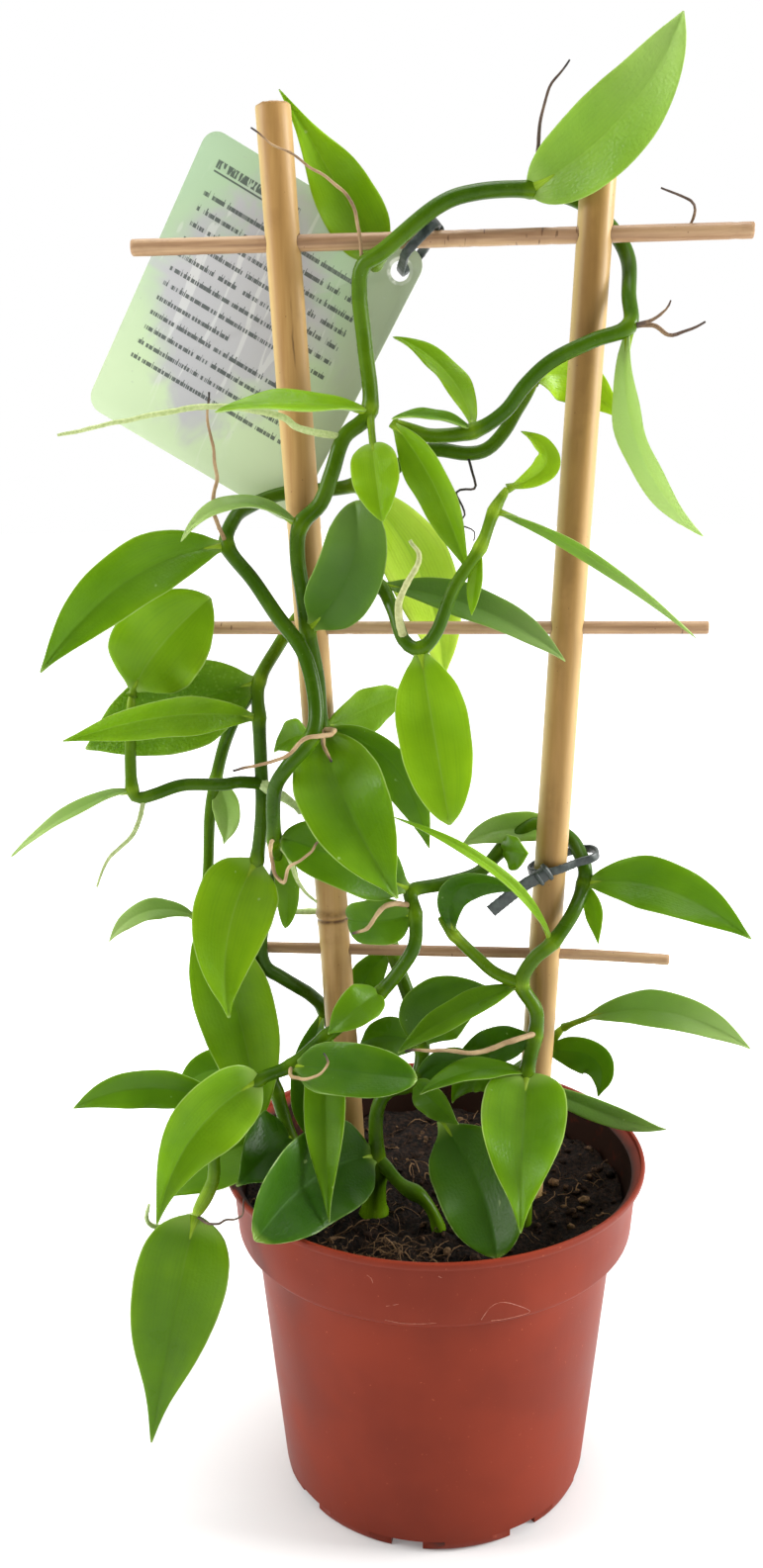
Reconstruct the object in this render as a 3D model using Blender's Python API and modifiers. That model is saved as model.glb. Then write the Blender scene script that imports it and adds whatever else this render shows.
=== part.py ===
"""Climbing vanilla orchid in a terracotta-coloured nursery pot, tied to a bamboo ladder with a hanging card.

Blender 4.5. Run with: blender --background --python part.py
Metres, +Z up. The origin is the middle of the pot's underside, and -Y is the side that faces the viewer.
Every size and place below is written in millimetres and turned into metres by MM.
"""

import math
from collections import namedtuple

import bmesh
import bpy
from mathutils import Matrix, Vector

MM = 0.001
GAP = 0.3

# Pot: a 12 cm nursery pot with a wide lip, a stacking band under it and a notched foot ring.
POT_HEIGHT = 103.0
LIP_RADIUS = 60.0
LIP_DEPTH = 2.2
BAND_RADIUS = 57.6
BAND_BOTTOM = 82.0
BODY_TOP_RADIUS = 51.8
FOOT_RADIUS = 45.6
WALL = 1.3
FLOOR_RAISE = 3.6
PAD_RADIUS = 17.0
FOOT_RING = 5.5
NOTCH_COUNT = 8
NOTCH_TURN = 38.8
NOTCH_WIDTH = 9.0
NOTCH_HEIGHT = 3.2
DRAIN_RADIUS = 2.6
DRAIN_CIRCLE = 29.0
POT_STEPS = 40

# Soil: fills the pot to a finger's width below the lip.
SOIL_TOP = 88.0
SOIL_DOME = 1.2
SOIL_RELIEF = 0.9
SOIL_RINGS = 7

# Ladder: two bamboo canes pushed into the soil, three thin rungs through drilled holes.
Cane = namedtuple("Cane", "foot head foot_radius head_radius joints")
CANE_LEFT = Cane((-20.2, 0.0, 16.0), (-36.7, 0.0, 367.5), 4.4, 4.1, (0.447,))
CANE_RIGHT = Cane((24.4, 0.0, 18.0), (37.7, 0.0, 362.0), 4.4, 4.1, ())
CANE_SIDES = 16
JOINT_SWELL = 0.45
JOINT_REACH = 2.2
PITH_RADIUS = 1.2
PITH_DEPTH = 6.0

Rung = namedtuple("Rung", "left right height radius")
RUNGS = {
    "bar_top": Rung(-71.6, 72.6, 339.0, 1.85),
    "bar_middle": Rung(-68.5, 68.2, 250.5, 1.65),
    "bar_bottom": Rung(-62.0, 63.4, 163.6, 1.55),
}
RUNG_SIDES = 12

# Card: stiff printed card that hangs by one corner from the top rung.
CARD_SIZE = (60.0, 71.0)
CARD_THICKNESS = 0.6
CARD_CORNER = 4.0
CARD_CENTRE = (-45.9, 13.0, 320.9)
CARD_LEAN = 30.0
CARD_HOLE_RADIUS = 2.4
CARD_HOLE = (25.4, 29.8)

# Plant ties: flat straps closed by a small buckle.
STRAP_WIDTH = 2.2
STRAP_THICKNESS = 0.9
TIE_TOP_LOOP = (
    (0.7, 11.5), (1.3, 8.5), (2.6, 3.5), (3.2, 0.0), (4.2, -2.1), (6.4, -3.0), (10.4, -3.0),
    (12.7, -2.1), (13.6, 0.0), (13.0, 2.6), (11.2, 7.0), (9.6, 11.0), (8.2, 14.0), (6.0, 16.0),
    (3.4, 16.2), (1.2, 15.0), (0.6, 13.2),
)
TIE_TOP_FOOT = (-9.3, 0.0, 333.4)
TIE_TOP_RISE = 42.0
TIE_RIGHT_LOOP = (
    (25.3, 0.0), (26.4, -3.5), (29.2, -5.5), (33.2, -5.4), (38.0, -2.4), (41.8, -1.3), (43.6, 1.4),
    (43.4, 5.4), (41.8, 8.6), (38.2, 9.9), (34.2, 8.6), (30.4, 6.0), (26.9, 4.1),
)
TIE_RIGHT_FOOT = (31.0, 0.0, 188.4)
TIE_RIGHT_SLOPE = 13.0
TIE_RIGHT_TAIL = ((28.4, -6.9, 187.4), (25.0, -7.8, 185.8), (20.6, -8.8, 182.6), (15.6, -9.4, 178.4))
BUCKLE = (4.2, 3.0, 3.4)
BUCKLE_SHIFT = (0.6, 0.6, 0.3)
SMALL_BUCKLE = (3.0, 3.2, 3.4)
SMALL_BUCKLE_PLACE = (12.7, 4.3, 0.0)
TAIL_WIDTH = 3.5
TAIL_LAP = 0.6

# Vines: stems, leaf blades and air roots, placed as the plant holds them.
STEM_RADIUS = 2.0
SHOOT_RADIUS = 1.75
ROOT_RADIUS = 0.55
STEM_STEP = 8.0
ROOT_STEP = 9.0
STEM_RINGS = 1
ROOT_RINGS = 0
BLADE_THICKNESS = 0.8
BLADE_FOLD = 18.0
BLADE_END = 0.9
BLADE_STATIONS = (0.0, 0.10, 0.27, 0.46, 0.66, 0.85, 1.0)
SLIM = (0.13, 0.40, 0.82, 1.0, 0.86, 0.44, 0.05)
OVAL = (0.13, 0.44, 0.90, 1.0, 0.83, 0.40, 0.05)
BROAD = (0.15, 0.74, 1.0, 0.94, 0.67, 0.28, 0.05)
BLUNT = (0.13, 0.45, 0.90, 1.0, 0.93, 0.62, 0.06)
EGG = (0.20, 0.70, 0.96, 0.98, 0.80, 0.46, 0.05)
HEART = (0.16, 0.79, 0.99, 0.91, 0.60, 0.22, 0.05)
PAD = (0.12, 0.42, 0.92, 1.0, 0.94, 0.70, 0.06)
VIEWER = Vector((22.0, -351.0, 291.0))

# place is (route, point) on the vine's routes; middle and tip are points of the midrib; turn rolls the blade.
Leaf = namedtuple("Leaf", "place middle tip width turn outline")
Vine = namedtuple("Vine", "routes leaves roots")

VINES = {
    "vine_tall": Vine(
        routes=(
            (
                (-16, -13, 68), (-16, -13, 88), (-15, -15, 108), (-15, -13, 120), (-12, -11, 126),
                (-5, -9, 128), (-3, -4, 136), (-7, 3, 148), (-12, 7, 161), (-15, 6, 177),
                (-19, 0, 194), (-24, -7, 211), (-28, -8, 226), (-29, -8, 239), (-31, -8, 251),
                (-32, -8, 260), (-33, -8, 269), (-32, -8, 276), (-27, -8, 281), (-24, -8, 288),
                (-21, -7, 296), (-15, -5, 302), (-16, -4, 316), (-17, -5, 327), (-16, -6, 333),
                (-11, -7, 336), (1, -5, 345), (10, -3, 348), (22, 2, 349), (31, 7, 348),
                (37, 8, 345), (42, 7, 340), (45, 4, 334), (45, -3, 326), (45, -7, 319),
                (37, -9, 316), (28, -9, 312), (22, -9, 307), (17, -9, 301), (10, -8, 297),
                (1, -8, 296), (-4, -9, 297), (-9, -11, 299),
            ),
            ((-15, -15, 108), (-8, -19, 102), (-1, -21, 98), (3, -22, 89), (4, -22, 73)),
            (
                (-32, -8, 260), (-22, -8, 262), (-13, -11, 262), (-9, -16, 257), (-6, -20, 250),
                (-2, -21, 248), (2, -21, 252), (6, -20, 262), (12, -18, 271), (15, -14, 279),
                (18, -12, 284),
            ),
            ((-11, -7, 336), (-13, -3, 334), (-14, 2, 334), (-14, 5, 335)),
        ),
        leaves=(
            Leaf((0, 28), (42, -10, 361), (53, -14, 379), 18, -8, EGG),
            Leaf((3, 3), (-24, 9, 353), (-36, 6, 372), 16, 10, HEART),
            Leaf((0, 21), (-30, -18, 303), (-48, -26, 302), 10, 62, SLIM),
            Leaf((0, 39), (3, 2, 310), (-10, 4, 319), 8, 40, SLIM),
            Leaf((0, 39), (1, -12, 300), (-9, -14, 300), 5, 60, SLIM),
            Leaf((0, 17), (-47, -13, 281), (-60, -17, 273), 7, 60, SLIM),
            Leaf((0, 34), (48, -10, 294), (63, -18, 273), 10, 45, SLIM),
            Leaf((0, 12), (-20, -22, 209), (-7, -30, 188), 24, 0, OVAL),
            Leaf((0, 12), (-10, -8, 217), (-1, -6, 194), 13, 30, SLIM),
            Leaf((0, 12), (-17, 2, 230), (-8, 8, 233), 13, 30, OVAL),
            Leaf((0, 14), (-19, -16, 266), (-18, -14, 282), 17, 0, PAD),
            Leaf((0, 42), (1, -13, 285), (9, -13, 265), 11, 25, SLIM),
            Leaf((0, 21), (-13, -14, 290), (-11, -18, 277), 12, 8, EGG),
            Leaf((0, 5), (12, -26, 110), (19, -43, 95), 23, 5, PAD),
            Leaf((0, 2), (-29, -35, 112), (-41, -57, 106), 26, -8, PAD),
            Leaf((0, 5), (1, -18, 127), (8, -22, 122), 9, 20, OVAL),
            Leaf((0, 6), (2, -3, 148), (18, -4, 154), 19, 5, OVAL),
            Leaf((0, 6), (-12, 2, 137), (-22, 7, 132), 12, 0, OVAL),
            Leaf((0, 8), (-20, 10, 151), (-23, 9, 138), 10, 0, SLIM),
            Leaf((0, 5), (5, -9, 135), (14, -9, 134), 8, 10, OVAL),
            Leaf((2, 10), (27, -10, 290), (21, -7, 297), 7, 30, SLIM),
            Leaf((2, 9), (38, -20, 269), (62, -26, 251), 4, 40, SLIM),
            Leaf((2, 5), (2, -28, 228), (6, -34, 208), 18, 0, BLUNT),
            Leaf((2, 8), (11, -18, 263), (10, -15, 255), 4, 20, SLIM),
            Leaf((2, 2), (12, -10, 256), (33, -12, 244), 10, -25, SLIM),
        ),
        roots=(
            (
                (-16, -6, 333), (-17, -7, 342), (-20, -8, 348), (-28, -9, 354), (-36, -10, 358),
                (-40, -11, 361),
            ),
            ((23, 2, 350), (24, 2, 362), (26, 1, 369), (30, 0, 374)),
            ((42, 7, 340), (51, 5, 340), (57, 4, 340), (59, 1, 342), (58, -1, 345), (51, -2, 348)),
            ((45, -7, 319), (50, -8, 319), (54, -9, 317), (57, -10, 317), (62, -10, 319)),
            ((45, -7, 319), (50, -9, 320), (53, -10, 322), (54, -10, 324)),
            ((-28, -8, 226), (-27, -15, 225), (-26, -18, 223), (-24, -20, 220)),
            (
                (-28, -8, 226), (-24, -15, 227), (-25, -22, 227), (-29, -25, 227), (-31, -26, 226),
                (-34, -26, 223), (-39, -26, 221), (-43, -26, 220), (-48, -25, 219),
            ),
            ((-15, 6, 175), (-20, 7, 173), (-26, 7, 172), (-33, 7, 172), (-41, 6, 172)),
            (
                (-21, -7, 296), (-31, -12, 298), (-36, -14, 301), (-51, -19, 303), (-69, -25, 300),
                (-84, -29, 297),
            ),
            ((-6, -20, 250), (-7, -23, 257), (-6, -24, 261), (-2, -24, 269), (-4, -23, 273)),
        ),
    ),
    "vine_left": Vine(
        routes=(
            (
                (-33, 11, 66), (-33, 11, 88), (-31, 10, 112), (-29, 10, 130), (-32, 8, 142),
                (-35, 4, 148), (-38, 0, 152), (-42, -3, 156), (-46, -5, 160), (-47, -5, 167),
                (-45, -3, 176), (-42, -2, 187), (-40, -16, 199), (-39, -19, 212), (-35, -22, 219),
                (-29, -21, 226), (-28, -18, 234), (-31, -15, 246), (-38, -12, 255), (-44, -9, 263),
                (-51, -5, 271), (-50, -1, 277), (-47, 4, 280), (-39, 9, 283), (-26, 8, 284),
                (-20, 6, 285), (-13, 3, 287), (-6, 1, 291), (0, 0, 293), (8, 0, 292),
                (13, 0, 293), (17, 1, 297), (20, 2, 302), (24, 2, 308),
            ),
        ),
        leaves=(
            Leaf((0, 20), (-73, -17, 264), (-94, -27, 243), 16, 8, SLIM),
            Leaf((0, 15), (-34, -12, 225), (-41, -8, 220), 9, 15, OVAL),
            Leaf((0, 33), (33, 10, 309), (46, 10, 299), 12, 0, OVAL),
            Leaf((0, 25), (-4, 9, 263), (2, 10, 236), 18, -8, SLIM),
            Leaf((0, 4), (-36, 1, 121), (-33, -2, 103), 11, 20, SLIM),
            Leaf((0, 12), (-39, -5, 185), (-40, -5, 171), 7, 10, PAD),
        ),
        roots=(
            ((-51, -5, 271), (-53, -10, 280), (-51, -13, 289), (-52, -15, 300), (-51, -17, 306)),
            (
                (8, 0, 292), (10, -4, 286), (10, -5, 284), (6, -6, 283), (8, -6, 278),
                (6, -7, 276), (10, -7, 274), (10, -7, 272),
            ),
            (
                (-40, -16, 199), (-40, -20, 199), (-40, -21, 195), (-39, -21, 191), (-37, -22, 189),
                (-36, -23, 191), (-35, -24, 194), (-32, -24, 196), (-29, -24, 198), (-28, -24, 200),
                (-27, -24, 201), (-28, -23, 203),
            ),
            ((-40, -16, 199), (-37, -12, 193), (-36, -9, 187), (-34, -7, 182), (-31, -6, 179)),
        ),
    ),
    "vine_right": Vine(
        routes=(
            (
                (26, -15, 66), (26, -15, 88), (26, -17, 122), (26, -14, 134), (28, -11, 144),
                (28, -10, 151), (24, -9, 158), (27, -9, 165), (32, -9, 170), (37, -6, 177),
                (40, 1, 183), (40, 2, 188), (37, 8, 193), (32, 9, 196), (26, 7, 198),
                (18, 2, 192), (12, -3, 187), (3, -7, 185), (-5, -11, 184), (-4, -14, 179),
                (-4, -16, 171), (-8, -17, 164), (-13, -18, 158), (-20, -20, 152), (-27, -22, 147),
                (-36, -26, 140), (-44, -29, 137), (-51, -31, 130), (-56, -33, 119), (-57, -34, 109),
                (-62, -35, 99),
            ),
            ((24, -9, 158), (17, -9, 161), (12, -8, 165), (6, -8, 171), (2, -8, 176)),
            ((26, -17, 122), (20, -7, 123), (22, 5, 125), (30, 10, 130), (36, 7, 139)),
        ),
        leaves=(
            Leaf((0, 10), (60, -8, 185), (81, -20, 176), 15, -10, SLIM),
            Leaf((0, 3), (25, -35, 122), (25, -50, 107), 24, 0, HEART),
            Leaf((0, 3), (12, -20, 137), (-2, -28, 134), 9, 45, SLIM),
            Leaf((0, 6), (7, -14, 151), (-9, -16, 140), 9, 30, SLIM),
            Leaf((0, 13), (17, 3, 197), (7, 0, 193), 9, 10, BROAD),
            Leaf((1, 3), (8, -13, 186), (25, -13, 185), 9, 25, SLIM),
            Leaf((0, 15), (22, -7, 194), (25, -10, 194), 10, 20, SLIM),
            Leaf((0, 8), (17, -16, 191), (-9, -22, 207), 4, 35, SLIM),
            Leaf((0, 10), (43, -1, 177), (44, -4, 168), 6, 30, SLIM),
            Leaf((0, 22), (-18, -26, 157), (-26, -28, 150), 11, 10, OVAL),
            Leaf((0, 25), (-19, -33, 142), (-2, -36, 142), 15, -10, PAD),
            Leaf((0, 26), (-60, -42, 126), (-69, -48, 103), 20, -15, HEART),
            Leaf((0, 27), (-73, -34, 136), (-93, -36, 130), 11, -15, SLIM),
            Leaf((0, 30), (-68, -44, 71), (-76, -46, 32), 26, 0, HEART),
            Leaf((2, 4), (60, -8, 151), (84, -16, 144), 11, -12, SLIM),
            Leaf((2, 3), (45, 4, 131), (46, 2, 120), 12, 30, OVAL),
            Leaf((2, 2), (48, 11, 111), (66, 5, 109), 7, 10, SLIM),
            Leaf((2, 1), (12, -4, 128), (5, -1, 118), 9, 0, SLIM),
            Leaf((0, 18), (-22, -17, 194), (-38, -18, 200), 17, 10, PAD),
            Leaf((0, 19), (-14, -15, 177), (-23, -8, 175), 13, -15, PAD),
            Leaf((0, 4), (17, -4, 138), (6, -5, 134), 11, -10, OVAL),
            Leaf((0, 24), (-26, -34, 123), (-24, -47, 106), 12, 12, HEART),
        ),
        roots=(
            (
                (28, -12, 145), (23, -16, 145), (17, -18, 143), (13, -19, 142), (3, -20, 143),
                (-6, -21, 143),
            ),
            (
                (-36, -26, 140), (-35, -32, 140), (-30, -39, 142), (-26, -41, 145), (-24, -41, 148),
                (-25, -40, 150),
            ),
            ((-62, -35, 99), (-57, -39, 99), (-51, -43, 103), (-47, -46, 106), (-46, -47, 112)),
            (
                (-62, -35, 99), (-66, -32, 96), (-71, -33, 94), (-74, -36, 96), (-75, -37, 99),
                (-74, -37, 103),
            ),
            ((-5, -13, 181), (-10, -19, 183), (-13, -20, 181), (-16, -21, 177), (-20, -20, 175)),
        ),
    ),
    "vine_low": Vine(
        routes=(
            (
                (-35, -14, 66), (-35, -14, 88), (-36, -13, 99), (-40, -10, 110), (-44, -6, 122),
                (-49, -3, 136), (-51, -4, 149), (-52, -6, 163), (-50, -6, 176), (-47, -5, 190),
                (-45, -5, 204), (-45, -4, 218), (-45, -4, 228), (-45, -2, 237), (-41, 5, 245),
                (-37, 8, 251), (-33, 10, 256),
            ),
            (
                (-45, -2, 237), (-52, 3, 228), (-56, 4, 220), (-59, 4, 210), (-61, 3, 200),
                (-62, 0, 183), (-64, -6, 174),
            ),
            (
                (-45, -5, 211), (-50, -8, 212), (-54, -11, 212), (-64, -12, 212), (-71, -14, 210),
                (-75, -14, 209), (-77, -14, 211), (-77, -13, 222), (-76, -12, 235),
            ),
        ),
        leaves=(
            Leaf((0, 13), (-66, -5, 231), (-91, -7, 220), 24, -5, SLIM),
            Leaf((0, 12), (-65, -18, 231), (-88, -32, 227), 11, -18, SLIM),
            Leaf((0, 9), (-53, -18, 173), (-52, -26, 153), 22, 0, BROAD),
            Leaf((0, 3), (-42, -24, 114), (-50, -36, 109), 20, 0, OVAL),
            Leaf((0, 4), (-60, -4, 128), (-73, -7, 121), 13, 10, OVAL),
            Leaf((0, 3), (-58, -19, 109), (-74, -28, 99), 22, 14, OVAL),
            Leaf((1, 6), (-76, -11, 177), (-86, -16, 170), 7, 30, SLIM),
            Leaf((1, 6), (-53, -9, 146), (-48, -16, 113), 23, 5, OVAL),
            Leaf((1, 3), (-56, 3, 201), (-57, 0, 193), 8, 10, OVAL),
            Leaf((2, 8), (-68, -12, 247), (-55, -9, 259), 24, -5, BLUNT),
            Leaf((2, 6), (-90, -20, 207), (-107, -26, 196), 6, 55, SLIM),
        ),
        roots=(
            ((-74, -14, 209), (-76, -18, 201), (-83, -20, 194), (-86, -22, 187)),
            ((-45, -5, 211), (-39, -7, 208), (-36, -5, 205), (-35, -4, 203)),
        ),
    ),
}

# colour, roughness, metallic
FINISHES = {
    "terracotta_plastic": ((0.30, 0.055, 0.030), 0.42, 0.0),
    "potting_soil": ((0.022, 0.015, 0.011), 0.95, 0.0),
    "bamboo": ((0.58, 0.38, 0.18), 0.50, 0.0),
    "rung_wood": ((0.42, 0.25, 0.13), 0.60, 0.0),
    "printed_card": ((0.55, 0.72, 0.48), 0.45, 0.0),
    "tie_plastic": ((0.018, 0.030, 0.026), 0.45, 0.0),
    "leaf_green": ((0.10, 0.30, 0.015), 0.35, 0.0),
}


def clear_scene():
    for old in list(bpy.data.objects):
        bpy.data.objects.remove(old, do_unlink=True)


def new_collection(name, hidden=False):
    collection = bpy.data.collections.new(name)
    bpy.context.scene.collection.children.link(collection)
    collection.hide_render = hidden
    return collection


def finish(name):
    """The named material, made on its first use."""
    if name in bpy.data.materials:
        return bpy.data.materials[name]
    colour, roughness, metallic = FINISHES[name]
    material = bpy.data.materials.new(name)
    material.use_nodes = True
    shader = material.node_tree.nodes["Principled BSDF"]
    shader.inputs["Base Color"].default_value = (*colour, 1.0)
    shader.inputs["Roughness"].default_value = roughness
    shader.inputs["Metallic"].default_value = metallic
    return material


def add_object(name, mesh, collection, material=None):
    obj = bpy.data.objects.new(name, mesh)
    collection.objects.link(obj)
    if material:
        mesh.materials.clear()
        mesh.materials.append(finish(material))
    return obj


def from_bmesh(name, bm, collection, material=None):
    mesh = bpy.data.meshes.new(name)
    bm.to_mesh(mesh)
    bm.free()
    return add_object(name, mesh, collection, material)


def shade_round(obj, angle=40.0):
    obj.data.shade_smooth()
    obj.data.set_sharp_from_angle(angle=math.radians(angle))


def evaluated_mesh(obj):
    """A mesh of the object with its modifiers or its bevel applied."""
    bpy.context.view_layer.update()
    graph = bpy.context.evaluated_depsgraph_get()
    return bpy.data.meshes.new_from_object(obj.evaluated_get(graph), depsgraph=graph)


def turned(name, profile, steps, collection, material=None):
    """A Screw of a profile of (radius, height) in mm, top to bottom along its outer side."""
    bm = bmesh.new()
    points = [bm.verts.new((r * MM, 0.0, z * MM)) for r, z in profile]
    for a, b in zip(points, points[1:]):
        bm.edges.new((a, b))
    obj = from_bmesh(name, bm, collection, material)
    screw = obj.modifiers.new("turn", "SCREW")
    screw.axis = "Z"
    screw.angle = 2 * math.pi
    screw.steps = steps
    screw.render_steps = steps
    screw.use_merge_vertices = True
    screw.merge_threshold = 0.00001
    return obj


def bake(obj):
    """Applies the object's modifiers to its mesh."""
    mesh = evaluated_mesh(obj)
    materials = list(obj.data.materials)
    obj.modifiers.clear()
    obj.data = mesh
    mesh.materials.clear()
    for material in materials:
        mesh.materials.append(material)
    return obj


def cut(obj, cutters):
    """Takes every cutter away from the object."""
    for cutter in cutters:
        cutter.display_type = "WIRE"
        cutter.hide_render = True
        modifier = obj.modifiers.new("cut_" + cutter.name, "BOOLEAN")
        modifier.operation = "DIFFERENCE"
        modifier.solver = "EXACT"
        modifier.object = cutter


def smooth_route(points, step):
    """Points about a step apart on a smooth curve through the route's own points."""
    route = [Vector(p) for p in points]
    ends = [2 * route[0] - route[1], *route, 2 * route[-1] - route[-2]]
    found = []
    for before, start, end, after in zip(ends, ends[1:], ends[2:], ends[3:]):
        pieces = max(1, round((end - start).length / step))
        for piece in range(pieces):
            t = piece / pieces
            found.append(
                0.5 * (2 * start + (end - before) * t
                       + (2 * before - 5 * start + 4 * end - after) * t * t
                       + (3 * start - before - 3 * end + after) * t ** 3)
            )
    return [*found, route[-1]]


def tube(name, points, radius, collection, rings, closed=False):
    """A capped tube along the points, as a closed mesh."""
    curve = bpy.data.curves.new(name, "CURVE")
    curve.dimensions = "3D"
    curve.twist_mode = "MINIMUM"
    curve.bevel_depth = radius * MM
    curve.bevel_resolution = rings
    curve.use_fill_caps = True
    spline = curve.splines.new("POLY")
    spline.use_cyclic_u = closed
    spline.points.add(len(points) - 1)
    for target, point in zip(spline.points, points):
        target.co = (*(Vector(point) * MM), 1.0)
    return mesh_of_curve(name, curve, collection)


def mesh_of_curve(name, curve, collection, place=Matrix.Identity(4)):
    """The curve as a closed mesh object, its caps welded to its sides."""
    source = bpy.data.objects.new(name + "_curve", curve)
    collection.objects.link(source)
    source.matrix_world = place
    mesh = evaluated_mesh(source)
    bm = bmesh.new()
    bm.from_mesh(mesh)
    bmesh.ops.remove_doubles(bm, verts=bm.verts, dist=0.00001)
    bmesh.ops.recalc_face_normals(bm, faces=bm.faces)
    bm.to_mesh(mesh)
    bm.free()
    obj = bpy.data.objects.new(name, mesh)
    collection.objects.link(obj)
    obj.matrix_world = source.matrix_world.copy()
    bpy.data.objects.remove(source, do_unlink=True)
    return obj


def join_all(target, others):
    """One Boolean union of the target with the other objects, which are then removed."""
    group = new_collection(target.name + "_pieces", hidden=True)
    for other in others:
        for holder in list(other.users_collection):
            holder.objects.unlink(other)
        group.objects.link(other)
    modifier = target.modifiers.new("join", "BOOLEAN")
    modifier.operation = "UNION"
    modifier.solver = "EXACT"
    modifier.operand_type = "COLLECTION"
    modifier.collection = group
    bake(target)
    for other in others:
        bpy.data.objects.remove(other, do_unlink=True)
    bpy.data.collections.remove(group)
    return target


def pot_profile():
    """Outer side from the lip down, underside to the middle, then the inside back up to the lip."""
    lip_bottom = POT_HEIGHT - LIP_DEPTH
    ring_inner = FOOT_RADIUS - FOOT_RING
    floor_top = FLOOR_RAISE + WALL
    return (
        (LIP_RADIUS - WALL, POT_HEIGHT), (LIP_RADIUS - 0.2, POT_HEIGHT), (LIP_RADIUS, POT_HEIGHT - 0.8),
        (LIP_RADIUS - 0.3, lip_bottom), (BAND_RADIUS, lip_bottom - 0.8),
        (BAND_RADIUS - 0.9, BAND_BOTTOM + 1.0), (BAND_RADIUS - 1.6, BAND_BOTTOM),
        (BODY_TOP_RADIUS, BAND_BOTTOM - 1.0), (FOOT_RADIUS, 3.0), (FOOT_RADIUS - 1.6, 0.0),
        (ring_inner, 0.0), (ring_inner - 1.0, FLOOR_RAISE), (PAD_RADIUS + 1.0, FLOOR_RAISE),
        (PAD_RADIUS, 0.0), (0.0, 0.0), (0.0, WALL), (PAD_RADIUS - 1.0, WALL),
        (PAD_RADIUS, floor_top), (FOOT_RADIUS - WALL, floor_top),
        (BODY_TOP_RADIUS - WALL, BAND_BOTTOM - 1.0), (BAND_RADIUS - WALL - 1.4, BAND_BOTTOM + 1.4),
        (BAND_RADIUS - WALL, lip_bottom - 1.0), (LIP_RADIUS - WALL, lip_bottom + 0.8),
        (LIP_RADIUS - WALL, POT_HEIGHT),
    )


def make_pot(parts, cutters):
    """Thin-walled pot: foot ring with drain notches, raised floor with drain holes, stacking band and lip."""
    pot = turned("pot", pot_profile(), POT_STEPS, parts, "terracotta_plastic")
    tools = []
    for index in range(NOTCH_COUNT):
        angle = math.radians(NOTCH_TURN + index * 360.0 / NOTCH_COUNT)
        spin = Matrix.Rotation(angle, 4, "Z")
        bm = bmesh.new()
        place = spin @ Matrix.Translation((FOOT_RADIUS * MM, 0, 0)) @ Matrix.Diagonal(
            (3 * FOOT_RING * MM, NOTCH_WIDTH * MM, 2 * NOTCH_HEIGHT * MM, 1)
        )
        bmesh.ops.create_cube(bm, size=1.0, matrix=place)
        tools.append(from_bmesh(f"notch_{index}", bm, cutters))
        bm = bmesh.new()
        place = spin @ Matrix.Translation((DRAIN_CIRCLE * MM, 0, FLOOR_RAISE * MM))
        bmesh.ops.create_cone(
            bm, cap_ends=True, segments=10, radius1=DRAIN_RADIUS * MM, radius2=DRAIN_RADIUS * MM,
            depth=6 * MM, matrix=place,
        )
        tools.append(from_bmesh(f"drain_{index}", bm, cutters))
    cut(pot, tools)
    bake(pot)
    shade_round(pot, 30.0)
    return pot


def soil_height(x, y):
    """Height of the lumpy soil surface, in mm, at a place in mm."""
    reach = math.hypot(x, y) / BAND_RADIUS
    lumps = math.sin(0.31 * x + 0.7) * math.cos(0.27 * y - 0.4) + 0.6 * math.sin(0.55 * x - 0.48 * y)
    return SOIL_TOP + SOIL_DOME * (1 - reach * reach) + SOIL_RELIEF * lumps


def make_soil(parts, holes):
    """Soil that fills the pot from its floor, with plain holes for the canes and the stems."""
    floor = FLOOR_RAISE + WALL + GAP
    inner_foot = FOOT_RADIUS - WALL - GAP
    inner_top = BODY_TOP_RADIUS - WALL - GAP
    neck = BAND_BOTTOM - 1.0
    shoulder = BAND_RADIUS - WALL - 1.4 - GAP
    rings = [
        (shoulder * (1 - k / SOIL_RINGS), SOIL_TOP) for k in range(SOIL_RINGS, 0, -1)
    ]
    side = [(shoulder, SOIL_TOP), (shoulder, BAND_BOTTOM + 2.2), (inner_top, neck), (inner_foot, floor)]
    soil = turned("soil", (*rings, *side, (0.0, floor)), POT_STEPS, parts, "potting_soil")
    bake(soil)
    for vertex in soil.data.vertices:
        if vertex.co.z > (SOIL_TOP - 1.0) * MM:
            vertex.co.z = soil_height(vertex.co.x / MM, vertex.co.y / MM) * MM
    cut(soil, holes)
    bake(soil)
    shade_round(soil, 60.0)
    return soil


def cane_profile(cane, length):
    """Taper from head to foot with a low swelling at each joint, as (radius, height) from the top."""
    def radius(at):
        return cane.foot_radius + (cane.head_radius - cane.foot_radius) * at

    rows = [(radius(1.0) - 0.4, length), (radius(1.0), length - 0.5)]
    for joint in sorted(cane.joints, reverse=True):
        middle = joint * length
        rows.append((radius(joint), middle + JOINT_REACH))
        rows.append((radius(joint) + JOINT_SWELL, middle + 0.25 * JOINT_REACH))
        rows.append((radius(joint) + 0.3 * JOINT_SWELL, middle - 0.2 * JOINT_REACH))
        rows.append((radius(joint), middle - JOINT_REACH))
    rows.append((radius(0.0), 0.0))
    return rows


def cane_place(cane):
    """The matrix that stands a cane's own axis along its line from foot to head."""
    foot, head = Vector(cane.foot), Vector(cane.head)
    lean = (head - foot).to_track_quat("Z", "Y").to_matrix().to_4x4()
    return Matrix.Translation(foot * MM) @ lean, (head - foot).length


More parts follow.
